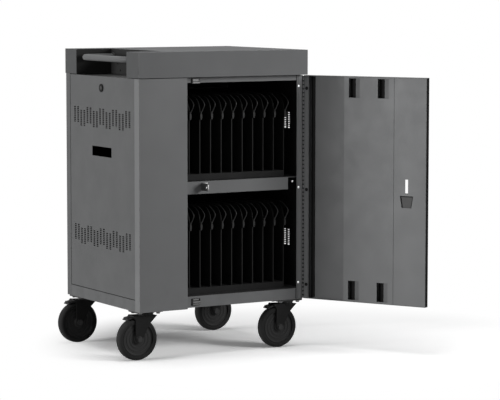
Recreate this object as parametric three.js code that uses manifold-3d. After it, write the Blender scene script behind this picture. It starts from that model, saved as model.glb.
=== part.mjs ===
// Charging cart: a sheet-steel cabinet on four braked swivel casters, with two bays of upright
// device slots behind a piano-hinged door and a power compartment behind a lift-off side panel.
// Millimetres. X runs along the front to the right, Y from the front to the back, Z up from the floor.
import * as THREE from "three";
import { mergeVertices } from "three/addons/utils/BufferGeometryUtils.js";
import Module from "manifold-3d";

// Cabinet
const SHEET = 1.5; // folded sheet steel
const GAP = 0.3; // clearance between pieces that touch
const CART_HEIGHT = 892;
const LID_DEPTH = 472;
const LID_HEIGHT = 74;
const LID_WALL = 2.5;
const LID_OVERHANG = 1.5;
const SHADOW_GAP = 2; // between the cabinet top and the lid's skirt
const UNDERSIDE = 144; // height of the cabinet's underside
const SILL_HEIGHT = 33;
const FRAME_SETBACK = 22.5; // door frame behind the fixed front panel
const FIXED_PANEL_WIDTH = 157.5;
const CORNER_STRIP = 29; // fixed panel's return on the left side
const REAR_STRIP = 26.5; // back panel's return on the left side
const STILE_WIDTH = 21.5; // right wall's return that carries the hinge
const TOP_RAIL_HEIGHT = 15;
const LID_RIB_INSETS = [268, 68]; // from the lid's right edge

// Handle recess in the lid, and the push handle
const RECESS_DEPTH = 117;
const HANDLE_DIAMETER = 18;
const HANDLE_SPAN = 294; // between the centrelines of its legs
const HANDLE_ROOM = 14; // from a leg's centreline to the recess's end
const HANDLE_BEND = 40;
const HANDLE_INSET = 10; // grip centreline from the lid's left face
const HANDLE_DROP = 23.5; // grip centreline below the lid's top
const HANDLE_FLANGE_DIAMETER = 26;
const HANDLE_FLANGE = 3;

// Vents: pairs of columns that stand high and low by turns
const VENT_COLUMNS = 18;
const VENT_PITCH = 20.65;
const VENT_WIDTH = 11;
const VENT_HEIGHT = 47;
const VENT_STEP = 9.5;
const VENT_DROPS = [95, 449.5]; // below the cabinet's top
const FAR_VENT_COLUMNS = 14; // in the right wall
const FAR_VENT_LOWER = 19.7; // right wall's vents below those of the side panel

// Side panel and its key lock
const PANEL_RETURN = 12;
const FINGER_SLOT_WIDTH = 124;
const FINGER_SLOT_HEIGHT = 29;
const FINGER_SLOT_DROP = 207; // slot's upper edge below the cabinet's top
const LOCK_DROP = 34; // lock's axis below the cabinet's top
const LOCK_BARREL = 19;
const LOCK_FACE = 24;
const LOCK_FACE_PROUD = 2.5;
const LOCK_LENGTH = 22;
const LOCK_PLUG = 12;
const KEYWAY_WIDTH = 2;
const KEYWAY_HEIGHT = 8;
const CAM_TAIL = 6;
const CAM_WIDTH = 13;
const CAM_LENGTH = 24;
const CAM_THICKNESS = 2.5;

// Bays, shelves and divider racks
const SHELF_HEIGHT = 513; // top of the middle shelf
const SHELF_FLANGE = 37;
const SHELF_SETBACK = 6; // shelf flange behind the door frame
const SHELF_FLANGE_END = 48; // flange stops short of the right wall
const BRACKET_LEG = 25;
const SLOTS = 10;
const SLOT_PITCH = 36;
const BAY_SIDE_ROOM = 42.4; // from the last fin to the right wall's outer face
const RACK_SETBACK = 38; // fins' front edge behind the door frame
const RACK_REAR_ROOM = 70.5; // behind the fins, for the loom
const TRAY_HEIGHT = 18;
const TRAY_WALL = 3;
const LEAD_ROOM = 44; // over the fins, below the rail or flange in front
const FIN_THICKNESS = 3;
const FIN_NOSE = 40; // radius of the fin's upper front corner

// Charging leads and what feeds them
const LEAD_DIAMETER = 3.6;
const LOOM_DIAMETER = 12;
const LOOM_SETBACK = 20; // behind the fins
const LOOM_LIFT = 8; // above the fins' top edge
const LEAD_LIFT = 1.8; // leads' underside above the fins
const PLUG_WIDTH = 7;
const PLUG_DEPTH = 9;
const PLUG_HEIGHT = 17;
const LOOP_REACH = 12; // a lead's loop in front of the fins
const LOOP_SIDE = 8; // a lead's loop to the right of its fin
const LOOP_DROP = 24; // where the loop reaches furthest, below its lead
const PLUG_DROP = 66; // plug's lower end below the fins' top edge
const GROMMET_DIAMETER = 34;
const GROMMET_GROOVE = 27;
const GROMMET_THICKNESS = 9;
const STRIP_SETBACKS = [22, 44.5]; // from the door frame, and from the back
const STRIP_HEIGHT = 56;
const STRIP_DEPTH = 42;
const STRIP_DROP = 125; // strip's middle below its loom
const OUTLETS = 10;
const OUTLET_SIZE = 25;
const OUTLET_DEPTH = 9;
const CONTROLLER_WIDTH = 96;
const CONTROLLER_DEPTH = 190;
const CONTROLLER_HEIGHT = 70;
const INLET_WIDTH = 50;
const INLET_HEIGHT = 30;
const INLET_BODY_WIDTH = 30;
const INLET_BODY_HEIGHT = 22;
const INLET_DEPTH = 30;
const INLET_PLATE = 2.5;
const INLET_PLACE = [80, 232]; // from the left edge, and height

// Door and piano hinge
const DOOR_REST_ANGLE = 119; // open, in degrees from shut
const DOOR_GAP = 0.8; // round the shut door
const DOOR_LIP = 18;
const DOOR_FOOT = 1.3; // shut door above the cabinet's underside
const KNUCKLE_RADIUS = 2.2;
const PIN_RADIUS = 0.95;
const PIN_CLEARANCE = 0.3;
const KNUCKLES = 28;
const LEAF_WIDTH = 14;
const LEAF_THICKNESS = 1;
const HAT_START = 136; // from the hinge pin
const HAT_WIDTH = 164.5;
const HAT_FLANGE = 12;
const HAT_CLEARANCE = 1.2; // hat's face below the door's lip
const HAT_WINDOW_WIDTH = 36;
const HAT_WINDOW_HEIGHT = 57;
const HAT_WINDOW_STARTS = [151.5, 247]; // from the hinge pin
const HAT_WINDOW_MARGIN = 6; // from the door's top and bottom
const LOCK_PANEL_SEAM = 1; // between the hat and the panel beside it

// Padlock staple, its slot in the door, finger pull and catches
const STAPLE_PLACE = 343; // from the hinge pin
const STAPLE_DROP = 16; // staple's middle below the shelf's top
const STAPLE_HEIGHT = 22;
const STAPLE_THICKNESS = 3;
const STAPLE_PROUD = 10; // beyond the shut door
const STAPLE_HOLE = 7;
const STAPLE_FOOT_WIDTH = 20;
const STAPLE_FOOT = 2;
const SLOT_WIDTH = 9.5;
const SLOT_HEIGHT = 42;
const SLOT_SWING = 10; // outer slot's extra width towards the hinge
const PULL_TOP_WIDTH = 42;
const PULL_BOTTOM_WIDTH = 30.5;
const PULL_HEIGHT = 34;
const PULL_DROP = 28; // pull's upper edge below the staple's middle
const PULL_DEPTH = 14;
const PULL_WALL = 1.6;
const PULL_RIM = 4;
const CATCH_WIDTH = 30;
const CATCH_HEIGHT = 12;
const CATCH_PROUD = 3;
const CATCH_PLACE = 27; // from the fixed panel's edge
const CATCH_LOW = 4; // lower catch above the underside

// Casters
const WHEEL_DIAMETER = 125;
const WHEEL_WIDTH = 28;
const HUB_RADIUS = 14;
const TREAD_RADIUS = 49; // inner edge of the rim
const WEB_WIDTH = 19;
const AXLE_DIAMETER = 10;
const CASTER_TRAIL = 30;
const CASTER_INSET = 44.5; // swivel axis from the cabinet's sides
const CASTER_FRONT = 48.5; // swivel axis from the front
const CASTER_REAR = 36.5; // swivel axis from the back
const PLATE_LENGTH = 84;
const PLATE_WIDTH = 56;
const PLATE_THICKNESS = 4;
const BOLT_SPACING = [60, 42];
const BOLT_RADIUS = 5.5;
const BOLT_HEAD = 5;
const RACE_RADIUS = 23;
const RACE_HEIGHT = 4;
const KINGPIN_RADIUS = 5;
const KINGPIN_HEAD = 7.5;
const KINGPIN_HEAD_HEIGHT = 4;
const WHEEL_CLEARANCE = 2; // wheel to crown
const CROWN_THICKNESS = 3;
const LEG_THICKNESS = 3;
const LEG_CLEARANCE = 1.2; // wheel to fork leg
const LEG_FOOT_RADIUS = 11;
const CROWN_FRONT = 29; // ahead of the swivel axis
const LEG_WAIST = 4; // leg's front edge ahead of the swivel axis, at the waist
const LEG_WAIST_DROP = 24; // waist below the crown's top
const PEDAL_REACH = 24; // from its pivot
const PEDAL_THICKNESS = 3.5;
const PEDAL_DROP = 7; // tail below the pivot
const PEDAL_LIP = 4.5;
const PEDAL_PIVOT = 1.8; // radius of the pivot pin
const PEDAL_BARREL = 3;
const EAR = 5; // fork ear round the pedal's pivot

// Places that follow from the sizes
const left = LID_OVERHANG;
const postX = left + FIXED_PANEL_WIDTH;
const rackX = postX + 2 * GAP + SHEET;
const rackEnd = rackX + SLOTS * SLOT_PITCH + FIN_THICKNESS;
const right = rackEnd + BAY_SIDE_ROOM;
const lidWidth = right + LID_OVERHANG;
const front = LID_OVERHANG;
const rear = LID_DEPTH - LID_OVERHANG;
const lidBottom = CART_HEIGHT - LID_HEIGHT;
const bodyTop = lidBottom - SHADOW_GAP;
const sillTop = UNDERSIDE + SILL_HEIGHT;
const frameY = front + FRAME_SETBACK;
const stileX = right - STILE_WIDTH;
const stripY = front + CORNER_STRIP;
const rearStripY = rear - REAR_STRIP;
const wallIn = SHEET + GAP; // inner face of a wall, with clearance, from its outer face
const middleY = LID_DEPTH / 2;
const shelfY = frameY + SHELF_SETBACK;
const hingeX = right - 0.5;
const hingeY = frameY - GAP - KNUCKLE_RADIUS;
const lipY = hingeY - KNUCKLE_RADIUS - GAP;
const doorRight = hingeX - DOOR_GAP;
const doorLeft = postX + DOOR_GAP;
const doorBottom = UNDERSIDE + DOOR_FOOT;
const doorTop = bodyTop - GAP;
const stapleX = hingeX - STAPLE_PLACE;
const stapleZ = SHELF_HEIGHT - STAPLE_DROP;
const pullTop = stapleZ - PULL_DROP;
const lockZ = bodyTop - LOCK_DROP;
const fingerSlotTop = bodyTop - FINGER_SLOT_DROP;
const fingerSlotBottom = fingerSlotTop - FINGER_SLOT_HEIGHT;
const recessWidth = HANDLE_SPAN + 2 * HANDLE_ROOM;
const recessY = [middleY - recessWidth / 2, middleY + recessWidth / 2];

const wasm = await Module();
wasm.setup();

// Solids

function solid(geometry) {
  const bare = geometry.clone();
  bare.deleteAttribute("normal");
  bare.deleteAttribute("uv");
  const merged = mergeVertices(bare, 1e-4);
  const mesh = new wasm.Mesh({
    numProp: 3,
    vertProperties: new Float32Array(merged.attributes.position.array),
    triVerts: new Uint32Array(merged.index.array),
  });
  return new wasm.Manifold(mesh);
}

function geometryOf(body) {
  const mesh = body.getMesh();
  const geometry = new THREE.BufferGeometry();
  geometry.setAttribute("position", new THREE.BufferAttribute(mesh.vertProperties, 3));
  geometry.setIndex(new THREE.BufferAttribute(mesh.triVerts, 1));
  return geometry;
}

const join = (...geometries) => geometryOf(wasm.Manifold.union(geometries.map(solid)));

function cut(geometry, ...cutters) {
  return geometryOf(solid(geometry).subtract(wasm.Manifold.union(cutters.map(solid))));
}

function box(x0, x1, y0, y1, z0, z1) {
  const geometry = new THREE.BoxGeometry(x1 - x0, y1 - y0, z1 - z0);
  return geometry.translate((x0 + x1) / 2, (y0 + y1) / 2, (z0 + z1) / 2);
}

function extrude(shape, depth, curveSegments = 6) {
  return new THREE.ExtrudeGeometry(shape, { depth, bevelEnabled: false, curveSegments });
}

// A shape drawn in X and Y, from z0 up to z1.
const upright = (shape, z0, z1, segments) => extrude(shape, z1 - z0, segments).translate(0, 0, z0);

// A shape drawn in X and Z, from y0 back to y1.
function frontOn(shape, y0, y1, segments) {
  return extrude(shape, y1 - y0, segments).rotateX(Math.PI / 2).translate(0, y1, 0);
}

// A shape drawn in Y and Z, from x0 across to x1.
function sideOn(shape, x0, x1, segments) {
  const turn = new THREE.Matrix4().makeBasis(
    new THREE.Vector3(0, 1, 0),
    new THREE.Vector3(0, 0, 1),
    new THREE.Vector3(1, 0, 0),
  );
  return extrude(shape, x1 - x0, segments).applyMatrix4(turn).translate(x0, 0, 0);
}

const polygon = (points) => new THREE.Shape(points.map(([x, y]) => new THREE.Vector2(x, y)));

// Points moved to the left of the way they run, with mitred corners.
function offset(points, distance, closed) {
  const count = points.length;
  const sideOf = (a, b) => {
    const length = Math.hypot(b[0] - a[0], b[1] - a[1]);
    return [-(b[1] - a[1]) / length, (b[0] - a[0]) / length];
  };
  return points.map((point, i) => {
    const before = points[(i + count - 1) % count];
    const after = points[(i + 1) % count];
    const into = closed || i > 0 ? sideOf(before, point) : sideOf(point, after);
    const out = closed || i < count - 1 ? sideOf(point, after) : into;
    const scale = distance / (1 + into[0] * out[0] + into[1] * out[1]);
    return [point[0] + (into[0] + out[0]) * scale, point[1] + (into[1] + out[1]) * scale];
  });
}

// Sheet folded along a path of its outer face, with its thickness to the left of the path.
function folded(path, thickness = SHEET) {
  return polygon([...path, ...offset(path, thickness, false).reverse()]);
}

function cylinder(radius, length, axis, centre, segments = 16) {
  const geometry = new THREE.CylinderGeometry(radius, radius, length, segments);
  if (axis === "x") geometry.rotateZ(Math.PI / 2);
  if (axis === "z") geometry.rotateX(Math.PI / 2);
  return geometry.translate(...centre);
}

function tube(curve, diameter, steps, sides) {
  const section = new THREE.Shape().absarc(0, 0, diameter / 2, 0, 2 * Math.PI);
  const options = { steps, curveSegments: sides / 2, bevelEnabled: false, extrudePath: curve };
  return new THREE.ExtrudeGeometry(section, options);
}

const curveThrough = (points) =>
  new THREE.CatmullRomCurve3(points.map((point) => new THREE.Vector3(...point)));

const paint = (color, roughness, metalness) => ({ color, roughness, metalness });
const FINISH = {
  powderCoat: paint(0x66676a, 0.55, 0.1),
  lidCoat: paint(0x6c6d70, 0.55, 0.1),
  black: paint(0x17181a, 0.6, 0),
  rubber: paint(0x2a2b2d, 0.8, 0),
  steel: paint(0xb9bbbe, 0.3, 0.9),
  darkPlastic: paint(0x4a4b4d, 0.6, 0),
};

const cart = new THREE.Group();

function add(name, geometry, finish, parent = cart) {
  const mesh = new THREE.Mesh(geometry, new THREE.MeshStandardMaterial(FINISH[finish]));
  mesh.name = name;
  parent.add(mesh);
  return mesh;
}

// Cabinet shell

// Plan of what stands inside the walls, flush with the frame in front and the panel at the left.
const innerPlan = [
  [postX + GAP, frameY],
  [stileX - GAP, frameY],
  [stileX - GAP, frameY + wallIn],
  [right - wallIn, frameY + wallIn],
  [right - wallIn, rear - wallIn],
  [left + wallIn, rear - wallIn],
  [left + wallIn, rearStripY - GAP],
  [left, rearStripY - GAP],
  [left, stripY + GAP],
  [postX + GAP, stripY + GAP],
];

function basePan() {
  const block = upright(polygon(innerPlan), UNDERSIDE, sillTop);
  const inside = polygon(offset(innerPlan, SHEET, true));
  return cut(block, upright(inside, UNDERSIDE + SHEET, sillTop + 1));
}

function topDeck() {
  const plan = innerPlan.map(([x, y]) => [Math.max(x, left + wallIn), y]);
  const plate = upright(polygon(plan), bodyTop - SHEET, bodyTop);
  const rail = box(postX + GAP, stileX - GAP, frameY, frameY + SHEET, bodyTop - TOP_RAIL_HEIGHT, bodyTop);
  return join(plate, rail);
}

// Cutters for one wall's vents, from x0 to x1.
function ventCutters(x0, x1, columns, lower) {
  const firstY = middleY - ((columns - 1) * VENT_PITCH) / 2;
  const cutters = [];
  for (const drop of VENT_DROPS) {
    for (let i = 0; i < columns; i++) {
      const y = firstY + i * VENT_PITCH;
      const high = bodyTop - drop - lower - (Math.floor(i / 2) % 2) * VENT_STEP;
      cutters.push(box(x0, x1, y - VENT_WIDTH / 2, y + VENT_WIDTH / 2, high - VENT_HEIGHT, high));
    }
  }
  return cutters;
}

function rightWall() {
  const path = [[stileX, frameY], [right, frameY], [right, rear]];
  const wall = upright(folded(path), UNDERSIDE, bodyTop);
  return cut(wall, ...ventCutters(right - 2 * SHEET, right + SHEET, FAR_VENT_COLUMNS, FAR_VENT_LOWER));
}

function backPanel() {
  const path = [[right - wallIn, rear], [left, rear], [left, rearStripY]];
  const panel = upright(folded(path), UNDERSIDE, lidBottom - GAP);
  const [x, z] = INLET_PLACE;
  const halfWidth = INLET_BODY_WIDTH / 2 + GAP;
  const halfHeight = INLET_BODY_HEIGHT / 2 + GAP;
  return cut(
    panel,
    box(x - halfWidth, x + halfWidth, rear - 2 * SHEET, rear + SHEET, z - halfHeight, z + halfHeight),
  );
}

function frontLeftPanel() {
  const path = [[left, stripY], [left, front], [postX, front], [postX, stripY]];
  const column = upright(folded(path), UNDERSIDE, bodyTop);
  const end = (z) => box(left + SHEET / 2, postX - SHEET / 2, front + SHEET / 2, stripY, z, z + SHEET);
  return join(column, end(UNDERSIDE), end(bodyTop - SHEET));
}

function lidPlan() {
  const [y0, y1] = recessY;
  return [
    [0, 0], [lidWidth, 0], [lidWidth, LID_DEPTH], [0, LID_DEPTH],
    [0, y1], [RECESS_DEPTH, y1], [RECESS_DEPTH, y0], [0, y0],
  ];
}

function lid() {
  const plan = lidPlan();
  const block = upright(polygon(plan), lidBottom, CART_HEIGHT);
  const inside = polygon(offset(plan, LID_WALL, true));
  const shell = cut(block, upright(inside, lidBottom - 1, CART_HEIGHT - LID_WALL));
  const seat = bodyTop + GAP;
  const ribPlaces = LID_RIB_INSETS.map((inset) => lidWidth - inset);
  const ribs = ribPlaces.map((x) =>
    box(x, x + LID_WALL, LID_WALL / 2, LID_DEPTH - LID_WALL / 2, lidBottom, CART_HEIGHT - LID_WALL / 2),
  );
  const ribFeet = ribPlaces.map((x) =>
    box(x, x + LID_WALL, stripY + GAP, rear - wallIn, seat, lidBottom + 1),
  );
  const recessFoot = box(RECESS_DEPTH, RECESS_DEPTH + LID_WALL, ...recessY, seat, lidBottom + 1);
  return join(shell, ...ribs, ...ribFeet, recessFoot);
}

function pushHandle() {
  const z = CART_HEIGHT - HANDLE_DROP;
  const wallX = RECESS_DEPTH - GAP;
  const y0 = middleY - HANDLE_SPAN / 2;
  const y1 = middleY + HANDLE_SPAN / 2;
  const x = HANDLE_INSET;
  const bend = HANDLE_BEND;
  const at = (px, py) => new THREE.Vector3(px, py, z);
  const path = new THREE.CurvePath();
  path.add(new THREE.LineCurve3(at(wallX, y0), at(x + bend, y0)));
  path.add(new THREE.QuadraticBezierCurve3(at(x + bend, y0), at(x, y0), at(x, y0 + bend)));
  path.add(new THREE.LineCurve3(at(x, y0 + bend), at(x, y1 - bend)));
  path.add(new THREE.QuadraticBezierCurve3(at(x, y1 - bend), at(x, y1), at(x + bend, y1)));
  path.add(new THREE.LineCurve3(at(x + bend, y1), at(wallX, y1)));
  const flange = (y) =>
    cylinder(HANDLE_FLANGE_DIAMETER / 2, HANDLE_FLANGE, "x", [wallX - HANDLE_FLANGE / 2, y, z], 20);
  return join(tube(path, HANDLE_DIAMETER, 34, 10), flange(y0), flange(y1));
}

add("base_pan", basePan(), "powderCoat");
add("right_wall", rightWall(), "powderCoat");
add("back_panel", backPanel(), "powderCoat");
add("front_left_panel", frontLeftPanel(), "powderCoat");
add("top_deck", topDeck(), "powderCoat");
add("lid", lid(), "lidCoat");
add("push_handle", pushHandle(), "powderCoat");

// Bays

const bays = [
  { name: "lower", floor: sillTop, finTop: SHELF_HEIGHT - SHELF_FLANGE - LEAD_ROOM },
  { name: "upper", floor: SHELF_HEIGHT, finTop: bodyTop - TOP_RAIL_HEIGHT - LEAD_ROOM },
];
for (const bay of bays) bay.loomZ = bay.finTop + LOOM_LIFT;
const rackY = frameY + RACK_SETBACK;
const rackRear = rear - RACK_REAR_ROOM;
const loomY = rackRear + LOOM_SETBACK;
const finMiddle = (i) => rackX + FIN_THICKNESS / 2 + i * SLOT_PITCH;

function partitionWall() {
  const y0 = stripY + wallIn + GAP;
  const path = [[postX - BRACKET_LEG, y0], [postX, y0], [postX, rear - 2 * wallIn]];
  const wall = upright(folded(path), UNDERSIDE + wallIn, bodyTop - wallIn);
  const holes = bays.map((bay) =>
    cylinder(GROMMET_GROOVE / 2 + GAP, 4 * SHEET, "x", [postX, loomY, bay.loomZ], 14),
  );
  return cut(wall, ...holes);
}

// Floor of the lower bay, on legs that stand in the base pan.
function bottomShelf() {
  const x0 = postX + GAP + wallIn;
  const x1 = right - 2 * wallIn;
  const y0 = frameY + 2 * wallIn;
  const z0 = UNDERSIDE + wallIn;
  const path = [[x0, z0], [x0, sillTop], [x1, sillTop], [x1, z0]];
  const channel = polygon([...path, ...offset(path, -SHEET, false).reverse()]);
  return frontOn(channel, y0, rear - 2 * wallIn);
}

function middleShelf() {
  const x0 = postX + GAP;
  const x1 = right - wallIn;
  const flangeEnd = right - SHELF_FLANGE_END;
  const plate = box(x0, x1, shelfY, rear - wallIn, SHELF_HEIGHT - SHEET, SHELF_HEIGHT);
  const flange = box(x0, flangeEnd, shelfY, shelfY + SHEET, SHELF_HEIGHT - SHELF_FLANGE, SHELF_HEIGHT);
  return join(plate, flange);
}

// Angle under one end of the middle shelf: side is +1 where its wall stands at the left.
function shelfBracket(wallX, side) {
  const top = SHELF_HEIGHT - wallIn;
  const path = [[wallX, top - BRACKET_LEG], [wallX, top], [wallX + side * BRACKET_LEG, top]];
  const angle = polygon([...path, ...offset(path, -side * SHEET, false).reverse()]);
  return frontOn(angle, shelfY + wallIn, rear - wallIn);
}

// Moulded rack: a hollow tray with a fin on each side of every slot.
function dividerRack({ floor, finTop }) {
  const z0 = floor + GAP;
  const trayTop = z0 + TRAY_HEIGHT;
  const tray = box(rackX, rackEnd, rackY, rackRear, z0, trayTop);
  const hollow = box(
    rackX + TRAY_WALL, rackEnd - TRAY_WALL, rackY + TRAY_WALL, rackRear - TRAY_WALL,
    z0 - 1, trayTop - TRAY_WALL,
  );
  const outline = new THREE.Shape();
  outline.moveTo(rackY, trayTop - TRAY_WALL / 2);
  outline.lineTo(rackRear, trayTop - TRAY_WALL / 2);
  outline.lineTo(rackRear, finTop);
  outline.lineTo(rackY + FIN_NOSE, finTop);
  outline.absarc(rackY + FIN_NOSE, finTop - FIN_NOSE, FIN_NOSE, Math.PI / 2, Math.PI, false);
  const fins = [];
  for (let i = 0; i <= SLOTS; i++) {
    const x = finMiddle(i) - FIN_THICKNESS / 2;
    fins.push(sideOn(outline, x, x + FIN_THICKNESS, 2));
  }
  return join(cut(tray, hollow), ...fins);
}

// A bay's leads leave one loom, lie along the fins and loop down to plugs parked at their front edge.
function chargingLeads(bay) {
  const lieZ = bay.finTop + LEAD_LIFT + LEAD_DIAMETER / 2;
  const stripTop = bay.loomZ - STRIP_DROP + STRIP_HEIGHT / 2 + GAP;
  const dropX = postX - SHEET - GAP - STRIP_DEPTH / 2;
  const endX = finMiddle(SLOTS);
  const loom = join(
    cylinder(LOOM_DIAMETER / 2, endX - dropX, "x", [(endX + dropX) / 2, loomY, bay.loomZ], 10),
    cylinder(LOOM_DIAMETER / 2, bay.loomZ - stripTop, "z", [dropX, loomY, (bay.loomZ + stripTop) / 2], 10),
    new THREE.SphereGeometry(LOOM_DIAMETER / 2, 10, 6).translate(dropX, loomY, bay.loomZ),
  );
  const plugTop = bay.finTop - PLUG_DROP + PLUG_HEIGHT;
  const plugY = rackY - GAP - PLUG_DEPTH / 2;
  const pieces = [loom];
  for (let i = 1; i <= SLOTS; i++) {
    const x = finMiddle(i);
    const curve = curveThrough([
      [x, loomY, bay.loomZ],
      [x, rackRear - LOOM_SETBACK, lieZ],
      [x, (rackY + rackRear) / 2, lieZ],
      [x + LOOP_SIDE / 8, rackY + FIN_NOSE - LOOP_REACH / 2, lieZ],
      [x + LOOP_SIDE * 0.6, rackY + LOOP_REACH * 0.7, lieZ - LOOP_DROP / 4],
      [x + LOOP_SIDE, rackY - LOOP_REACH, lieZ - LOOP_DROP],
      [x + LOOP_SIDE * 0.6, plugY - LOOP_REACH / 4, plugTop + LOOP_REACH],
      [x, plugY, plugTop - 1],
    ]);
    pieces.push(tube(curve, LEAD_DIAMETER, 14, 6));
    pieces.push(
      box(x - PLUG_WIDTH / 2, x + PLUG_WIDTH / 2, plugY - PLUG_DEPTH / 2, plugY + PLUG_DEPTH / 2,
        plugTop - PLUG_HEIGHT, plugTop),
    );
  }
  return join(...pieces);
}

// Rubber ring round the loom, with a groove for the partition's edge.
function grommet(bay) {
  const bore = LOOM_DIAMETER / 2 + GAP;
  const rim = GROMMET_DIAMETER / 2;
  const groove = GROMMET_GROOVE / 2;
  const half = GROMMET_THICKNESS / 2;
  const slit = SHEET / 2 + GAP;
  const profile = [
    [bore, -half], [rim, -half], [rim, -slit], [groove, -slit],
    [groove, slit], [rim, slit], [rim, half], [bore, half], [bore, -half],
  ];
  const ring = new THREE.LatheGeometry(profile.map(([r, z]) => new THREE.Vector2(r, z)), 14);
  return ring.rotateZ(Math.PI / 2).translate(postX - SHEET / 2, loomY, bay.loomZ);
}

function powerStrip(bay) {
  const x1 = postX - SHEET - GAP;
  const x0 = x1 - STRIP_DEPTH;
  const z = bay.loomZ - STRIP_DROP;
  const y0 = frameY + STRIP_SETBACKS[0];
  const y1 = rear - STRIP_SETBACKS[1];
  const body = box(x0, x1, y0, y1, z - STRIP_HEIGHT / 2, z + STRIP_HEIGHT / 2);
  const pitch = (y1 - y0) / OUTLETS;
  const half = OUTLET_SIZE / 2;
  const outlets = [];
  for (let i = 0; i < OUTLETS; i++) {
    const y = y0 + pitch * (i + 0.5);
    outlets.push(box(x0 - 1, x0 + OUTLET_DEPTH, y - half, y + half, z - half, z + half));
  }
  return cut(body, ...outlets);
}

function powerController() {
  const z0 = UNDERSIDE + wallIn;
  const x1 = postX - SHEET - GAP - BRACKET_LEG;
  const y1 = rear - wallIn - SHEET - INLET_DEPTH;
  const chamfer = CONTROLLER_HEIGHT / 6;
  const x0 = x1 - CONTROLLER_WIDTH;
  const z1 = z0 + CONTROLLER_HEIGHT;
  const section = polygon([
    [x0, z0], [x1, z0], [x1, z1 - chamfer], [x1 - chamfer, z1], [x0 + chamfer, z1], [x0, z1 - chamfer],
  ]);
  return frontOn(section, y1 - CONTROLLER_DEPTH, y1);
}

// Mains inlet: a plate outside the back panel and a recessed body through it.
function powerInlet() {
  const [x, z] = INLET_PLACE;
  const faceY = rear + GAP + INLET_PLATE;
  const block = (width, height, y0, y1) =>
    box(x - width / 2, x + width / 2, y0, y1, z - height / 2, z + height / 2);
  const wall = 3 * GAP + SHEET;
  const body = join(
    block(INLET_WIDTH, INLET_HEIGHT, rear + GAP, faceY),
    block(INLET_BODY_WIDTH, INLET_BODY_HEIGHT, rear - INLET_DEPTH, faceY),
  );
  const socket = block(
    INLET_BODY_WIDTH - 2 * wall, INLET_BODY_HEIGHT - 2 * wall, rear - INLET_DEPTH + 2 * wall, faceY + 1,
  );
  return cut(body, socket);
}

add("partition_wall", partitionWall(), "powderCoat");
add("bottom_shelf", bottomShelf(), "black");
add("middle_shelf", middleShelf(), "powderCoat");
add("shelf_bracket_left", shelfBracket(postX + GAP, 1), "black");
add("shelf_bracket_right", shelfBracket(right - wallIn, -1), "black");
for (const bay of bays) {
  add(`divider_rack_${bay.name}`, dividerRack(bay), "black");
  add(`charging_leads_${bay.name}`, chargingLeads(bay), "black");
  add(`cable_grommet_${bay.name}`, grommet(bay), "rubber");
  add(`power_strip_${bay.name}`, powerStrip(bay), "black");
}
add("power_controller", powerController(), "black");
add("power_inlet", powerInlet(), "black");

// Padlock staple and catches

function hasp() {
  const y1 = shelfY - GAP;
  const tipY = front - STAPLE_PROUD;
  const z0 = stapleZ - STAPLE_HEIGHT / 2;
  const z1 = z0 + STAPLE_HEIGHT;
  const nose = STAPLE_HEIGHT / 3;
  const blade = new THREE.Shape();
  blade.moveTo(y1, z0);
  blade.lineTo(y1, z1);
  blade.lineTo(tipY + nose, z1);
  blade.absarc(tipY + nose, z1 - nose, nose, Math.PI / 2, Math.PI, false);
  blade.absarc(tipY + nose, z0 + nose, nose, Math.PI, 1.5 * Math.PI, false);
  const hole = new THREE.Path();
  hole.absarc(tipY + STAPLE_HOLE, stapleZ, STAPLE_HOLE / 2, 0, 2 * Math.PI, true);
  blade.holes.push(hole);
  const x0 = stapleX - STAPLE_THICKNESS / 2;
  const foot = box(
    x0, x0 + STAPLE_FOOT_WIDTH, y1 - STAPLE_FOOT, y1, z0, z1,
  );
  return join(sideOn(blade, x0, x0 + STAPLE_THICKNESS, 4), foot);
}

// Magnet between two steel pole plates, on the face of a frame rail.
function magneticCatch(z0) {
  const x0 = postX + CATCH_PLACE;
  const y1 = frameY - GAP;
  const pole = CATCH_HEIGHT / 6;
  const z1 = z0 + CATCH_HEIGHT;
  const y0 = y1 - CATCH_PROUD;
  const block = box(x0, x0 + CATCH_WIDTH, y0, y1, z0, z1);
  const notch = (low, high) => box(x0 + pole, x0 + CATCH_WIDTH - pole, y0 - 1, y0 + pole / 4, low, high);
  const third = CATCH_HEIGHT / 3;
  return cut(block, notch(z0 + third, z1 - third));
}

add("hasp_staple", hasp(), "steel");
add("catch_top", magneticCatch(bodyTop - SHEET - CATCH_HEIGHT), "steel");
add("catch_bottom", magneticCatch(UNDERSIDE + CATCH_LOW), "steel");

// Door, drawn shut and turned open about the hinge pin

const knucklePitch = (doorTop - doorBottom - 2 * SHEET) / KNUCKLES;
const hingeBottom = doorBottom + SHEET;

// One leaf of the piano hinge: its plate lies to the side given by side, and it owns every
// second knuckle, starting at first.
function hingeLeaf(side, first) {
  const inner = KNUCKLE_RADIUS + PIN_CLEARANCE;
  const nearFace = side * (KNUCKLE_RADIUS - LEAF_THICKNESS);
  const farFace = side * KNUCKLE_RADIUS;
  const y0 = Math.min(nearFace, farFace);
  const y1 = Math.max(nearFace, farFace);
  const top = hingeBottom + KNUCKLES * knucklePitch;
  const pieces = [box(-inner - LEAF_WIDTH, -inner, y0, y1, hingeBottom, top)];
  const ring = new THREE.Shape().absarc(0, 0, KNUCKLE_RADIUS, 0, 2 * Math.PI);
  const bore = new THREE.Path().absarc(0, 0, PIN_RADIUS + PIN_CLEARANCE, 0, 2 * Math.PI, true);
  ring.holes.push(bore);
  for (let i = first; i < KNUCKLES; i += 2) {
    const z0 = hingeBottom + i * knucklePitch + GAP / 2;
    const z1 = z0 + knucklePitch - GAP;
    const strap = box(-inner - LEAF_THICKNESS, -KNUCKLE_RADIUS / 4, y0, y1, z0, z1);
    pieces.push(cut(join(upright(ring, z0, z1, 4), strap), cylinderBore(z0, z1)));
  }
  return join(...pieces);
}

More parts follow.
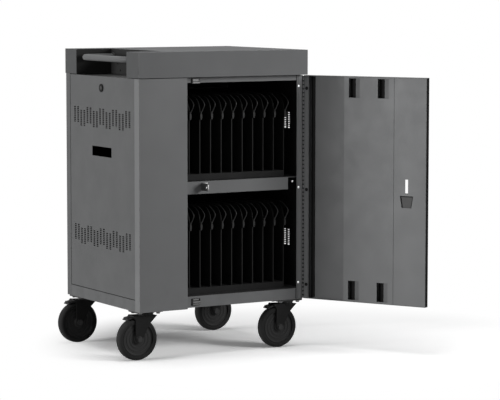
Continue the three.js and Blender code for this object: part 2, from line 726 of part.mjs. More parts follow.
const cylinderBore = (z0, z1) =>
  cylinder(PIN_RADIUS + PIN_CLEARANCE, z1 - z0 + 2, "z", [0, 0, (z0 + z1) / 2], 8);

function hingePin() {
  const length = KNUCKLES * knucklePitch;
  return cylinder(PIN_RADIUS, length, "z", [0, 0, hingeBottom + length / 2], 8);
}

// Outline of the finger pull, grown by a margin on every side.
function pullOutline(margin) {
  const top = pullTop + margin;
  const bottom = pullTop - PULL_HEIGHT - margin;
  const halfTop = PULL_TOP_WIDTH / 2 + margin;
  const halfBottom = PULL_BOTTOM_WIDTH / 2 + margin;
  return polygon([
    [stapleX - halfBottom, bottom], [stapleX + halfBottom, bottom],
    [stapleX + halfTop, top], [stapleX - halfTop, top],
  ]);
}

// Cutter for the slot that the staple passes through, widened towards the hinge by swing.
function stapleSlot(y0, y1, swing) {
  const half = SLOT_WIDTH / 2;
  const halfHeight = SLOT_HEIGHT / 2;
  return box(stapleX - half, stapleX + half + swing, y0, y1, stapleZ - halfHeight, stapleZ + halfHeight);
}

function doorPan() {
  const lipEnd = hingeX - DOOR_LIP;
  const path = [[doorLeft, lipY], [doorLeft, front], [doorRight, front], [doorRight, lipY], [lipEnd, lipY]];
  const pan = upright(folded(path), doorBottom, doorTop);
  const end = (z) =>
    box(doorLeft + SHEET / 2, doorRight - SHEET / 2, front + SHEET / 2, lipY - GAP, z, z + SHEET);
  const slot = stapleSlot(front - 1, front + 2 * SHEET, SLOT_SWING);
  const pullHole = frontOn(pullOutline(GAP), front - 1, front + 2 * SHEET);
  return cut(join(pan, end(doorBottom), end(doorTop - SHEET)), slot, pullHole);
}

function doorStiffener() {
  const x1 = hingeX - HAT_START;
  const x0 = x1 - HAT_WIDTH;
  const low = front + wallIn;
  const high = lipY - HAT_CLEARANCE;
  const path = [
    [x1 - HAT_FLANGE, low], [x1, low], [x1, high], [x0, high], [x0, low], [x0 + HAT_FLANGE, low],
  ];
  const hat = upright(folded(path), doorBottom + wallIn, doorTop - wallIn);
  const windows = [];
  for (const start of HAT_WINDOW_STARTS) {
    const wx = hingeX - start - HAT_WINDOW_WIDTH;
    for (const z of [doorBottom + HAT_WINDOW_MARGIN, doorTop - HAT_WINDOW_MARGIN - HAT_WINDOW_HEIGHT]) {
      windows.push(box(wx, wx + HAT_WINDOW_WIDTH, high - 2 * SHEET, high + 1, z, z + HAT_WINDOW_HEIGHT));
    }
  }
  return cut(hat, ...windows);
}

// Inner panel of the lock side, flush with the hat.
function doorLockPanel() {
  const x1 = hingeX - HAT_START - HAT_WIDTH - LOCK_PANEL_SEAM;
  const x0 = doorLeft + wallIn;
  const low = front + wallIn;
  const high = lipY - HAT_CLEARANCE;
  const channel = folded([[x1, low], [x1, high], [x0, high], [x0, low]]);
  const panel = upright(channel, doorBottom + wallIn, doorTop - wallIn);
  const pullHole = frontOn(pullOutline(2 * GAP), high - 2 * SHEET, high + 1);
  return cut(panel, stapleSlot(high - 2 * SHEET, high + 1, 0), pullHole);
}

function fingerPull() {
  const rimY = front - GAP;
  const body = join(
    frontOn(pullOutline(0), rimY - SHEET, front + PULL_DEPTH),
    frontOn(pullOutline(PULL_RIM), rimY - SHEET, rimY),
  );
  return cut(body, frontOn(pullOutline(-PULL_WALL), rimY - SHEET - 1, front + PULL_DEPTH - PULL_WALL));
}

const hinge = new THREE.Group();
hinge.position.set(hingeX, hingeY, 0);
cart.add(hinge);
add("hinge_leaf_frame", hingeLeaf(1, 0), "steel", hinge);
add("hinge_pin", hingePin(), "steel", hinge);

const door = new THREE.Group();
door.rotation.z = THREE.MathUtils.degToRad(DOOR_REST_ANGLE);
hinge.add(door);
const onDoor = (geometry) => geometry.translate(-hingeX, -hingeY, 0);
add("hinge_leaf_door", hingeLeaf(-1, 1), "steel", door);
add("door_pan", onDoor(doorPan()), "powderCoat", door);
add("door_stiffener", onDoor(doorStiffener()), "powderCoat", door);
add("door_lock_panel", onDoor(doorLockPanel()), "powderCoat", door);
add("finger_pull", onDoor(fingerPull()), "darkPlastic", door);

// Lift-off side panel with its lock

function sidePanel() {
  const y0 = stripY + GAP;
  const y1 = rearStripY - GAP;
  const bottom = sillTop + GAP;
  const skin = box(left, left + SHEET, y0, y1, bottom, bodyTop);
  const fold = (y) =>
    box(left + SHEET / 2, left + PANEL_RETURN, y, y + SHEET, bottom + GAP, bodyTop - wallIn);
  const half = FINGER_SLOT_WIDTH / 2;
  const lip = box(
    left + SHEET / 2, left + PANEL_RETURN, middleY - half + SHEET, middleY + half - SHEET,
    fingerSlotBottom - 2 * SHEET, fingerSlotBottom - SHEET,
  );
  const slot = box(
    left - 1, left + 2 * SHEET, middleY - half, middleY + half, fingerSlotBottom, fingerSlotTop,
  );
  const lockHole = cylinder(LOCK_BARREL / 2 + GAP, 4 * SHEET, "x", [left, middleY, lockZ], 16);
  const vents = ventCutters(left - SHEET, left + 2 * SHEET, VENT_COLUMNS, 0);
  return cut(join(skin, fold(y0 + GAP), fold(y1 - SHEET - GAP), lip), slot, lockHole, ...vents);
}

// A round piece of the lock, from x0 to x1 behind the panel's outer face.
function lockRound(diameter, x0, x1, segments) {
  return cylinder(diameter / 2, x1 - x0, "x", [left + (x0 + x1) / 2, middleY, lockZ], segments);
}

function lockBody() {
  const shape = join(
    lockRound(LOCK_FACE, -LOCK_FACE_PROUD, -GAP, 20),
    lockRound(LOCK_BARREL, -LOCK_FACE_PROUD, LOCK_LENGTH, 20),
  );
  return cut(shape, lockRound(LOCK_PLUG, -LOCK_FACE_PROUD - 1, LOCK_LENGTH + 1, 20));
}

function lockPlug() {
  const turning = LOCK_PLUG - 4 * GAP;
  const tailEnd = LOCK_LENGTH + GAP + CAM_THICKNESS;
  const plug = join(
    lockRound(turning, -LOCK_FACE_PROUD, LOCK_LENGTH, 16),
    lockRound(CAM_TAIL, LOCK_LENGTH - 1, tailEnd, 12),
  );
  const keyway = box(
    left - LOCK_FACE_PROUD - 1, left + LOCK_LENGTH / 2,
    middleY - KEYWAY_WIDTH / 2, middleY + KEYWAY_WIDTH / 2,
    lockZ - KEYWAY_HEIGHT / 2, lockZ + KEYWAY_HEIGHT / 2,
  );
  return cut(plug, keyway);
}

// Cam with round ends, pointing to the back when the panel is free.
function lockCam() {
  const outline = new THREE.Shape();
  outline.absarc(middleY, lockZ, CAM_WIDTH / 2, Math.PI / 2, 1.5 * Math.PI, false);
  outline.absarc(middleY + CAM_LENGTH, lockZ, CAM_WIDTH / 4, -Math.PI / 2, Math.PI / 2, false);
  const hole = new THREE.Path().absarc(middleY, lockZ, CAM_TAIL / 2 + 2 * GAP, 0, 2 * Math.PI, true);
  outline.holes.push(hole);
  const x0 = left + LOCK_LENGTH + GAP;
  return sideOn(outline, x0, x0 + CAM_THICKNESS, 3);
}

add("side_panel", sidePanel(), "powderCoat");
add("lock_body", lockBody(), "steel");
add("lock_plug", lockPlug(), "steel");
add("lock_cam", lockCam(), "steel");

// Casters, drawn about their swivel axis with the wheel trailing to the left

const wheelRadius = WHEEL_DIAMETER / 2;
const plateTop = UNDERSIDE - GAP;
const plateBottom = plateTop - PLATE_THICKNESS;
const crownBottom = WHEEL_DIAMETER + WHEEL_CLEARANCE;
const crownTop = crownBottom + CROWN_THICKNESS;
const fixedRaceBottom = plateBottom - RACE_HEIGHT;
const axleX = -CASTER_TRAIL;
const crownBack = axleX - LEG_FOOT_RADIUS;
const legInner = WHEEL_WIDTH / 2 + LEG_CLEARANCE;
const legOuter = legInner + LEG_THICKNESS;
const pivotX = crownBack - PEDAL_BARREL - GAP;
const pivotZ = crownTop - PEDAL_PIVOT;

function casterPlate() {
  const halfLength = PLATE_LENGTH / 2;
  const halfWidth = PLATE_WIDTH / 2;
  const plate = box(-halfLength, halfLength, -halfWidth, halfWidth, plateBottom, plateTop);
  const pieces = [
    plate,
    cylinder(RACE_RADIUS, RACE_HEIGHT + 1, "z", [0, 0, fixedRaceBottom + (RACE_HEIGHT + 1) / 2], 16),
  ];
  const headTop = crownBottom - GAP;
  const headBottom = headTop - KINGPIN_HEAD_HEIGHT;
  const pinLength = plateBottom - headBottom;
  pieces.push(cylinder(KINGPIN_RADIUS, pinLength, "z", [0, 0, headBottom + pinLength / 2], 12));
  const headMiddle = (headTop + headBottom) / 2;
  pieces.push(cylinder(KINGPIN_HEAD, KINGPIN_HEAD_HEIGHT, "z", [0, 0, headMiddle], 12));
  for (const x of [-BOLT_SPACING[0] / 2, BOLT_SPACING[0] / 2]) {
    for (const y of [-BOLT_SPACING[1] / 2, BOLT_SPACING[1] / 2]) {
      pieces.push(cylinder(BOLT_RADIUS, BOLT_HEAD + 1, "z", [x, y, plateBottom - BOLT_HEAD / 2 + 0.5], 6));
    }
  }
  return join(...pieces);
}

// Outline of a fork leg in X and Z: round foot at the axle, waist, and a flare up to the crown.
function legOutline() {
  const leg = new THREE.Shape();
  leg.moveTo(crownBack, wheelRadius);
  leg.absarc(axleX, wheelRadius, LEG_FOOT_RADIUS, Math.PI, 2 * Math.PI, false);
  leg.lineTo(LEG_WAIST, crownTop - LEG_WAIST_DROP);
  leg.lineTo(CROWN_FRONT, crownTop);
  leg.lineTo(pivotX, crownTop + EAR / 2);
  leg.absarc(pivotX, pivotZ, EAR, Math.PI / 2, 1.5 * Math.PI, false);
  leg.lineTo(crownBack, pivotZ - 2 * EAR);
  return leg;
}

function casterFork() {
  const legs = [-1, 1].map((side) => {
    const y0 = side > 0 ? legInner : -legOuter;
    return frontOn(legOutline(), y0, y0 + LEG_THICKNESS, 3);
  });
  const crown = box(crownBack, CROWN_FRONT - CROWN_THICKNESS, -legOuter, legOuter, crownBottom, crownTop);
  const raceTop = fixedRaceBottom - GAP;
  const race = cylinder(
    RACE_RADIUS - 1, raceTop - crownBottom, "z", [0, 0, (raceTop + crownBottom) / 2], 16,
  );
  const span = 4 * legOuter;
  return cut(
    join(crown, race, ...legs),
    cylinder(KINGPIN_RADIUS + 2 * GAP, span, "z", [0, 0, crownTop], 12),
    cylinder(AXLE_DIAMETER / 2 + GAP, span, "y", [axleX, 0, wheelRadius], 12),
    cylinder(PEDAL_PIVOT + 2 * GAP, span, "y", [pivotX, 0, pivotZ], 8),
  );
}

function casterAxle() {
  const length = 2 * legOuter + 2 * GAP;
  const head = (side) =>
    cylinder(AXLE_DIAMETER * 0.8, AXLE_DIAMETER / 2, "y",
      [axleX, side * (length / 2 + AXLE_DIAMETER / 4), wheelRadius], 6);
  return join(cylinder(AXLE_DIAMETER / 2, length + 2, "y", [axleX, 0, wheelRadius], 12), head(-1), head(1));
}

function casterWheel() {
  const half = WHEEL_WIDTH / 2;
  const bore = AXLE_DIAMETER / 2 + 2 * GAP;
  const web = WEB_WIDTH / 2;
  const side = [
    [bore, half - GAP], [HUB_RADIUS, half - GAP], [HUB_RADIUS + half - web, web],
    [TREAD_RADIUS - half + web, web], [TREAD_RADIUS, half],
    [wheelRadius - half / 2, half], [wheelRadius, half / 2],
  ];
  const profile = [...side.map(([r, y]) => [r, -y]), ...side.reverse(), [bore, GAP - half]];
  const wheel = new THREE.LatheGeometry(profile.map(([r, y]) => new THREE.Vector2(r, y)), 24);
  return wheel.translate(axleX, 0, wheelRadius);
}

// Brake pedal: a pivot barrel with a tread that bends down over the wheel's back.
function brakePedal() {
  const half = legInner - 2 * GAP;
  const tailX = pivotX - PEDAL_REACH;
  const tailZ = pivotZ - PEDAL_DROP;
  const tread = polygon([
    [pivotX, pivotZ + PEDAL_THICKNESS / 2],
    [tailX + PEDAL_LIP, tailZ + PEDAL_THICKNESS],
    [tailX, tailZ],
    [tailX, tailZ - PEDAL_LIP / 2],
    [tailX + PEDAL_LIP, tailZ],
    [pivotX, pivotZ - PEDAL_THICKNESS / 2],
  ].reverse());
  return join(
    frontOn(tread, -half, half),
    cylinder(PEDAL_BARREL, 2 * half, "y", [pivotX, 0, pivotZ], 12),
    cylinder(PEDAL_PIVOT, 2 * legOuter, "y", [pivotX, 0, pivotZ], 10),
  );
}

const swivelX = [left + CASTER_INSET, right - CASTER_INSET];
const swivelY = [front + CASTER_FRONT, rear - CASTER_REAR];
const corners = { fl: [0, 0], fr: [1, 0], bl: [0, 1], br: [1, 1] };
for (const [corner, [i, j]] of Object.entries(corners)) {
  const caster = new THREE.Group();
  caster.position.set(swivelX[i], swivelY[j], 0);
  cart.add(caster);
  add(`caster_plate_${corner}`, casterPlate(), "black", caster);
  add(`caster_fork_${corner}`, casterFork(), "black", caster);
  add(`caster_axle_${corner}`, casterAxle(), "black", caster);
  add(`caster_wheel_${corner}`, casterWheel(), "rubber", caster);
  add(`brake_pedal_${corner}`, brakePedal(), "black", caster);
}

// The origin lies on the floor, under the middle of the cart's box with its door open.
const extent = new THREE.Box3().setFromObject(cart, true);
const middle = extent.getCenter(new THREE.Vector3());
cart.position.set(-middle.x, -middle.y, -extent.min.z);

const part = new THREE.Group();
part.add(cart);
export default part;
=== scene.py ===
"""Looks of the charging cart: camera, light, materials and the fine detail on the CAD frame."""

import math

import bmesh
import bpy
from mathutils import Matrix, Vector


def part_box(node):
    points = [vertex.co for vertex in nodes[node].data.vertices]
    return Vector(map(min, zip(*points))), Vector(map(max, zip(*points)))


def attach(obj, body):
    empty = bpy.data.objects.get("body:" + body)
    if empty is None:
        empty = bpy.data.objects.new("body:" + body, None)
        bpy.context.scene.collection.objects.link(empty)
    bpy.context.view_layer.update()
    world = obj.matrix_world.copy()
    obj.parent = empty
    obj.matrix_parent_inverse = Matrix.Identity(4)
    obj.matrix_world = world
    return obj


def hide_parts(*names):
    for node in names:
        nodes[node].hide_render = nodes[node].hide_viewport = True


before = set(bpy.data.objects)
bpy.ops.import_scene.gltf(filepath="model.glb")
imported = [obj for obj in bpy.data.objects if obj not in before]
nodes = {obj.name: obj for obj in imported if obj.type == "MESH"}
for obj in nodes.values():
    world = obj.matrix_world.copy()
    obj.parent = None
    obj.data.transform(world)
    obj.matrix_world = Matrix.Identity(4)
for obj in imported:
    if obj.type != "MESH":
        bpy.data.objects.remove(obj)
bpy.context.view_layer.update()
scene = bpy.context.scene

# Lengths are in millimetres from the floor under the lid's front left corner, unless said otherwise.
MM = 0.001
LID_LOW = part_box("lid")[0]
CART_DEPTH = 472
MIDDLE_Y = CART_DEPTH / 2
SHEET = 1.5
GAP = 0.3
POST_X = 159  # right edge of the fixed front panel
POST_INNER_X = POST_X - SHEET - GAP  # wall of the power compartment
FRAME_Y = 24  # face of the door frame
SLOTS = 10  # in each bay
SLOT_PITCH = 36
FIN_TOPS = {"lower": 432, "upper": 757}
CORNERS = {"fl": (46, 50), "fr": (522, 50), "bl": (46, 434), "br": (522, 434)}
SWIVEL_TRAIL = 30
WHEEL_RADIUS = 62.5
LEFT, RIGHT = (-1, 0, 0), (1, 0, 0)
FRONT, BACK = (0, -1, 0), (0, 1, 0)
DOWN, UP = (0, 0, -1), (0, 0, 1)


def at(x, y, z):
    """A point of the cart, given in millimetres, in the frame."""
    return Vector((LID_LOW.x + x * MM, LID_LOW.y + y * MM, z * MM))


# Camera

CAMERA_PLACE = (-2997, -5651, 1084)
CAMERA_TURNS = (30.777, 5.477, 0.04)  # degrees to the right, down and about the line of sight
CAMERA_LENS = 161.67
CAMERA_SENSOR = 36
CAMERA_REACH = 40  # metres


def add_camera():
    data = bpy.data.cameras.new("camera")
    data.sensor_width = CAMERA_SENSOR
    data.lens = CAMERA_LENS
    data.clip_end = CAMERA_REACH
    camera = bpy.data.objects.new("camera", data)
    bpy.context.collection.objects.link(camera)
    yaw, pitch, roll = (math.radians(turn) for turn in CAMERA_TURNS)
    level = math.cos(pitch)
    forward = Vector((math.sin(yaw) * level, math.cos(yaw) * level, -math.sin(pitch)))
    aim = forward.to_track_quat("-Z", "Y").to_matrix().to_4x4()
    camera.location = at(*CAMERA_PLACE)
    camera.rotation_euler = (aim @ Matrix.Rotation(roll, 4, "Z")).to_euler()
    scene.camera = camera


add_camera()

# Shader nodes


def math_node(tree, operation, first, second):
    """The result of an operation on a socket and another socket or a number."""
    node = tree.nodes.new("ShaderNodeMath")
    node.operation = operation
    tree.links.new(first, node.inputs[0])
    if isinstance(second, float):
        node.inputs[1].default_value = second
    else:
        tree.links.new(second, node.inputs[1])
    return node.outputs["Value"]


def vector_node(tree, operation, source, other=None):
    """The outputs of an operation on a socket and a fixed vector."""
    node = tree.nodes.new("ShaderNodeVectorMath")
    node.operation = operation
    tree.links.new(source, node.inputs[0])
    if other is not None:
        node.inputs[1].default_value = other
    return node.outputs


def split_node(tree, source):
    node = tree.nodes.new("ShaderNodeSeparateXYZ")
    tree.links.new(source, node.inputs["Vector"])
    return node.outputs


def range_node(tree, source, before, after=(0.0, 1.0), curve="LINEAR"):
    """A value moved from one range to another, and kept within it."""
    node = tree.nodes.new("ShaderNodeMapRange")
    node.interpolation_type = curve
    values = {"From Min": before[0], "From Max": before[1], "To Min": after[0], "To Max": after[1]}
    for socket, value in values.items():
        node.inputs[socket].default_value = value
    tree.links.new(source, node.inputs["Value"])
    return node.outputs["Result"]


def shader_mix(tree, factor, first, second):
    node = tree.nodes.new("ShaderNodeMixShader")
    for source, socket in zip((factor, first, second), node.inputs):
        tree.links.new(source, socket)
    return node.outputs["Shader"]


def seen_or_mirrored(tree):
    """A factor that is 1 for what the camera sees, straight, in a glossy surface or through glass."""
    path = tree.nodes.new("ShaderNodeLightPath")
    seen = path.outputs["Is Camera Ray"]
    for way in ("Is Glossy Ray", "Is Transmission Ray"):
        seen = math_node(tree, "MAXIMUM", seen, path.outputs[way])
    return seen


# Light

FILL_COLOR = (0.97, 0.985, 1, 1)
FILL_STRENGTH = 0.055
BACKDROP_COLOR = (1, 1, 1, 1)
BACKDROP_STRENGTH = 1.0
LAMPS = {  # place, target, size in metres and power in watts
    "left": ((-8300, 890, 1250), (650, -100, 520), (4.4, 1.4), 660),
    "right": ((2700, -3120, 1750), (300, 0, 480), (1.4, 1.4), 124),
    "top": ((100, 0, 3400), (280, 100, 892), (1.8, 1.8), 40),
}


def world_light():
    """White behind the cart, and a weak even fill on it."""
    world = bpy.data.worlds.new("studio")
    scene.world = world
    world.use_nodes = True
    tree = world.node_tree
    tree.nodes.clear()

    def background(color, strength):
        node = tree.nodes.new("ShaderNodeBackground")
        node.inputs["Color"].default_value = color
        node.inputs["Strength"].default_value = strength
        return node.outputs["Background"]

    fill = background(FILL_COLOR, FILL_STRENGTH)
    backdrop = background(BACKDROP_COLOR, BACKDROP_STRENGTH)
    out = tree.nodes.new("ShaderNodeOutputWorld")
    tree.links.new(shader_mix(tree, seen_or_mirrored(tree), fill, backdrop), out.inputs["Surface"])


def area_light(name, place, target, size, power):
    data = bpy.data.lights.new(name, "AREA")
    data.shape = "RECTANGLE"
    data.size, data.size_y = size
    data.energy = power
    light = bpy.data.objects.new(name, data)
    bpy.context.collection.objects.link(light)
    light.location = at(*place)
    light.rotation_euler = (at(*target) - light.location).to_track_quat("-Z", "Y").to_euler()


scene.view_settings.view_transform = "Standard"
world_light()
for lamp, setting in LAMPS.items():
    area_light(lamp, *setting)

# Materials

COOL = 1.015  # blue share of the coat's grey
NOISE_RANGE = (0.3, 0.7)
MOTTLE_SCALE = 7.0
FLECK_GAIN = 2.5  # variation of the grain's flecks against that of the broad patches
FLECK_SHARE = 0.5
GRAIN_HEIGHT = 0.0004  # metres
GLOSS_SCALE = 18.0
GLOSS_SPREAD = (-0.05, 0.07)
SCUFF_SCALE = 26.0
SCUFF_HEIGHTS = (0.32, 0.14)  # metres, from no scuffs down to all of them
SCUFF_GAIN = 1.5
FACING = 0.5  # least cosine between a face's normal and a direction that it looks in


def linear(value):
    """A display grey from 0 to 255 as linear light."""
    v = value / 255
    return v / 12.92 if v <= 0.04045 else ((v + 0.055) / 1.055) ** 2.4


def tint(grey, cool=1.0):
    v = linear(grey)
    return (v * (2 - cool), v, v * cool, 1)


def scaled(color, factor):
    return tuple(min(1, c * factor) for c in color[:3]) + (1,)


def color_mix(tree, factor, first, second):
    """A mix of two colours, each a socket or fixed."""
    node = tree.nodes.new("ShaderNodeMix")
    node.data_type = "RGBA"
    tree.links.new(factor, node.inputs["Factor"])
    for value, socket in ((first, node.inputs["A"]), (second, node.inputs["B"])):
        if isinstance(value, tuple):
            socket.default_value = value
        else:
            tree.links.new(value, socket)
    return node.outputs["Result"]


def looks_that_way(tree, way):
    """A factor that is 1 on the faces that look a given way."""
    normal = tree.nodes.new("ShaderNodeNewGeometry").outputs["Normal"]
    cosine = vector_node(tree, "DOT_PRODUCT", normal, way)["Value"]
    return math_node(tree, "GREATER_THAN", cosine, FACING)


def within(tree, place, low, high):
    """A factor that is 1 between two corners, at any height."""
    away = vector_node(tree, "SUBTRACT", place, (low + high) / 2)["Vector"]
    away = vector_node(tree, "ABSOLUTE", away)["Vector"]
    away = vector_node(tree, "SUBTRACT", away, (high - low) / 2)["Vector"]
    sides = split_node(tree, away)
    furthest = math_node(tree, "MAXIMUM", sides["X"], sides["Y"])
    return math_node(tree, "LESS_THAN", furthest, 0.0)


def material(name, color, roughness, metallic=0.0, grain=900, depth=0.12, mottle=0.06, specular=0.5,
             faces=(), scuff=0.0, pocket=None):
    """A finish with fine grain in the surface and broad variation of tone. grain is the scale of the
    grain and depth its strength, and mottle is the variation of tone. faces gives directions and the
    colours of the faces that look that way. pocket gives two corners, and the colour between them.
    scuff lightens patches low on the cart."""
    mat = bpy.data.materials.new(name)
    mat.use_nodes = True
    mat.diffuse_color = color
    tree = mat.node_tree
    link = tree.links.new
    shader = tree.nodes["Principled BSDF"]
    shader.inputs["Metallic"].default_value = metallic
    shader.inputs["Specular IOR Level"].default_value = specular
    place = tree.nodes.new("ShaderNodeTexCoord").outputs["Object"]

    def noise(scale, detail):
        node = tree.nodes.new("ShaderNodeTexNoise")
        node.inputs["Scale"].default_value = scale
        node.inputs["Detail"].default_value = detail
        link(place, node.inputs["Vector"])
        return node.outputs["Fac"]

    def varied(scale, detail, low, high):
        return range_node(tree, noise(scale, detail), NOISE_RANGE, (low, high))

    patches = varied(MOTTLE_SCALE, 2.0, 0.0, 1.0)
    tone = color_mix(tree, patches, scaled(color, 1 - mottle), scaled(color, 1 + mottle))
    flecks = varied(grain, 3.0, 0.0, FLECK_SHARE)
    tone = color_mix(tree, flecks, tone, scaled(color, 1 + FLECK_GAIN * mottle))
    for way, face_color in faces:
        tone = color_mix(tree, looks_that_way(tree, way), tone, face_color)
    if pocket is not None:
        low, high, pocket_color = pocket
        tone = color_mix(tree, within(tree, place, low, high), tone, pocket_color)
    if scuff:
        lowness = range_node(tree, split_node(tree, place)["Z"], SCUFF_HEIGHTS)
        scuffs = math_node(tree, "MULTIPLY", lowness, varied(SCUFF_SCALE, 5.0, 0.0, scuff))
        tone = color_mix(tree, scuffs, tone, scaled(color, SCUFF_GAIN))
    link(tone, shader.inputs["Base Color"])
    smoothest, roughest = (roughness + change for change in GLOSS_SPREAD)
    link(varied(GLOSS_SCALE, 3.0, smoothest, roughest), shader.inputs["Roughness"])
    bump = tree.nodes.new("ShaderNodeBump")
    bump.inputs["Strength"].default_value = depth
    bump.inputs["Distance"].default_value = GRAIN_HEIGHT
    link(noise(grain, 3.0), bump.inputs["Height"])
    link(bump.outputs["Normal"], shader.inputs["Normal"])
    return mat


def coated(name, color, roughness=0.5, **more):
    """Powder-coated steel."""
    return material(name, color, roughness, specular=0.2, **more)


COAT = tint(100, COOL)
# Painted shade: faces that look left are a darker grey than the coat, to stand for the shade they should be
# in.
SIDE = tint(80, COOL)  # faces that look left
# Painted shade: inner faces of the walls, undersides of the deck and middle shelf, and the partition and
# bottom shelf are dark as if in shadow.
INSIDE = tint(34)
# Dark top faces of the deck, the floor of the handle recess. The middle shelf shares this finish, and on it
# the dark top is painted shade in the upper bay.
DECK_TOP = tint(26)
RECESS = (at(-1, 74.8, 0), at(117.2, 397.2, 0), tint(40))

coat = coated("powder_coat", COAT, scuff=0.25)
# Painted sheen: the lid's coat is lighter than the body's, to make up for the specular reflection it leaves
# out.
lid_coat = material("lid_coat", tint(106, COOL), 0.68, specular=0.08, pocket=RECESS, faces=[(LEFT, SIDE)])
base_coat = coated("base_coat", COAT, faces=[(LEFT, SIDE)], scuff=0.25)
# Painted sheen: the door's stiffener and lock panel are lighter than the same coat elsewhere, standing for
# the light the door reflects.
lit_door_coat = coated("lit_door_coat", tint(110, COOL), 0.46)
pan_coat = coated("door_pan_coat", COAT, 0.48)
right_coat = coated("right_wall_coat", tint(106, COOL), faces=[(LEFT, INSIDE)])
back_coat = coated("back_coat", COAT, faces=[(FRONT, INSIDE), (LEFT, SIDE)])
# Painted shade: the side panel's coat is the darker grey of faces that look left.
left_coat = coated("left_coat", SIDE, faces=[(RIGHT, INSIDE)], scuff=0.2)
handle_coat = coated("handle_coat", tint(86, COOL))
hinge_coat = coated("hinge_coat", tint(108, COOL))
# Painted highlight: the fixed front panel is lighter than the coat, and its left-facing corner strip is not
# darkened like other left faces.
lit_fixed_coat = coated("lit_fixed_coat", tint(104, COOL), faces=[(RIGHT, INSIDE)], scuff=0.2)
deck_coat = coated("deck_coat", COAT, faces=[(DOWN, INSIDE), (UP, DECK_TOP)])
# Painted shade: the partition and the bottom shelf are dark all over, as if in shadow.
inner_shade_coat = coated("inner_shade_coat", INSIDE, 0.6)
# Black coat of the real black parts; on the door's hinge knuckles it is painted shade of the gaps between
# knuckles.
black_coat_and_shade = material("black_coat_and_shade", tint(27), 0.45, grain=700, depth=0.1, mottle=0.12, specular=0.25)
fork_coat = material("fork_coat", tint(25), 0.6, grain=700, depth=0.1, mottle=0.12, specular=0.08)
# Black plastic of the real parts; on the catches' housings it is painted shadow round the plates.
black_plastic = material("black_plastic", tint(22), 0.5, grain=1600, depth=0.08, mottle=0.15, specular=0.2)
rack_plastic = material("rack_plastic", tint(26), 0.55, grain=1400, depth=0.1, mottle=0.12, specular=0.1)
grey_plastic = material("grey_plastic", tint(84), 0.5, grain=1300, depth=0.12, mottle=0.08)
pull_plastic = material("pull_plastic", tint(62), 0.5, grain=1300, depth=0.12, mottle=0.1, specular=0.2)
# Black rubber of the real dark parts, also used as painted shade: the door's hinge screws, the stiffener's
# strips and the pull's frame.
rubber_and_painted_shade = material("rubber_and_painted_shade", tint(14), 0.6, grain=1500, depth=0.1, mottle=0.2, specular=0.08)
# Painted shade on the face of the door's free edge.
painted_edge_shade = material("painted_edge_shade", tint(14), 0.7, grain=1500, depth=0.1, mottle=0.2, specular=0.02)
cable = material("cable_rubber", tint(26), 0.55, grain=2200, depth=0.06, mottle=0.2, specular=0.3)
tread = material("tread", tint(41), 0.75, grain=1100, depth=0.2, mottle=0.18, specular=0.06)
hub_plastic = material("hub_plastic", tint(44), 0.55, grain=1000, depth=0.12, mottle=0.15, specular=0.12)
zinc = material("zinc_plate", tint(176), 0.34, metallic=1.0, grain=1500, depth=0.05, mottle=0.12)
steel = material("plated_steel", tint(132), 0.42, metallic=1.0, grain=1200, depth=0.08, mottle=0.15)
catch_steel = material("catch_steel", tint(84), 0.5, metallic=1.0, grain=1200, depth=0.1, mottle=0.2)
screw_steel = material("screw_steel", tint(226), 0.3, metallic=1.0, grain=1500, depth=0.05, mottle=0.1)

# Finishes and rounded edges of the CAD nodes

NODE_FINISH = {
    "base_pan": base_coat, "front_left_panel": lit_fixed_coat, "side_panel": left_coat,
    "right_wall": right_coat, "back_panel": back_coat, "top_deck": deck_coat,
    "lid": lid_coat, "push_handle": coat,
    "partition_wall": inner_shade_coat, "bottom_shelf": inner_shade_coat, "middle_shelf": deck_coat,
    "shelf_bracket_left": black_coat_and_shade, "shelf_bracket_right": black_coat_and_shade,
    "door_pan": pan_coat, "door_stiffener": lit_door_coat, "door_lock_panel": lit_door_coat,
    "finger_pull": pull_plastic,
    "hinge_leaf_frame": coat, "hinge_leaf_door": pan_coat, "hinge_pin": steel,
    "hasp_staple": steel, "catch_top": steel, "catch_bottom": steel,
    "lock_body": rubber_and_painted_shade, "lock_plug": pull_plastic, "lock_cam": zinc,
    "divider_rack_upper": rack_plastic, "divider_rack_lower": rack_plastic,
    "charging_leads_upper": cable, "charging_leads_lower": cable,
    "cable_grommet_upper": cable, "cable_grommet_lower": cable,
    "power_strip_upper": black_plastic, "power_strip_lower": black_plastic,
    "power_controller": black_coat_and_shade, "power_inlet": black_plastic,
}
for corner in CORNERS:
    NODE_FINISH[f"caster_plate_{corner}"] = black_coat_and_shade
    NODE_FINISH[f"caster_fork_{corner}"] = fork_coat
    NODE_FINISH[f"caster_axle_{corner}"] = black_coat_and_shade
    NODE_FINISH[f"caster_wheel_{corner}"] = tread
    NODE_FINISH[f"brake_pedal_{corner}"] = black_plastic

SHARP_ANGLE = math.radians(35)
PLAIN_EDGE = 0.45
WIDER_EDGES = {"lid": 3.0, "door_pan": 0.9, "front_left_panel": 0.9, "finger_pull": 1.0}
LID_EDGE_SEGMENTS = 4
EDGE_SEGMENTS = 2


def round_edges(item, width, segments):
    bevel = item.modifiers.new("edges", "BEVEL")
    bevel.width = width * MM
    bevel.segments = segments
    bevel.limit_method = "ANGLE"
    return bevel


for name, node in nodes.items():
    node.data.materials.clear()
    node.data.materials.append(NODE_FINISH[name])
    segments = LID_EDGE_SEGMENTS if name == "lid" else EDGE_SEGMENTS
    rounding = round_edges(node, WIDER_EDGES.get(name, PLAIN_EDGE), segments)
    rounding.angle_limit = SHARP_ANGLE

# Mesh pieces


def add_box(mesh, low, high):
    made = bmesh.ops.create_cube(mesh, size=1)
    bmesh.ops.scale(mesh, vec=high - low, verts=made["verts"])
    bmesh.ops.translate(mesh, vec=(low + high) / 2, verts=made["verts"])


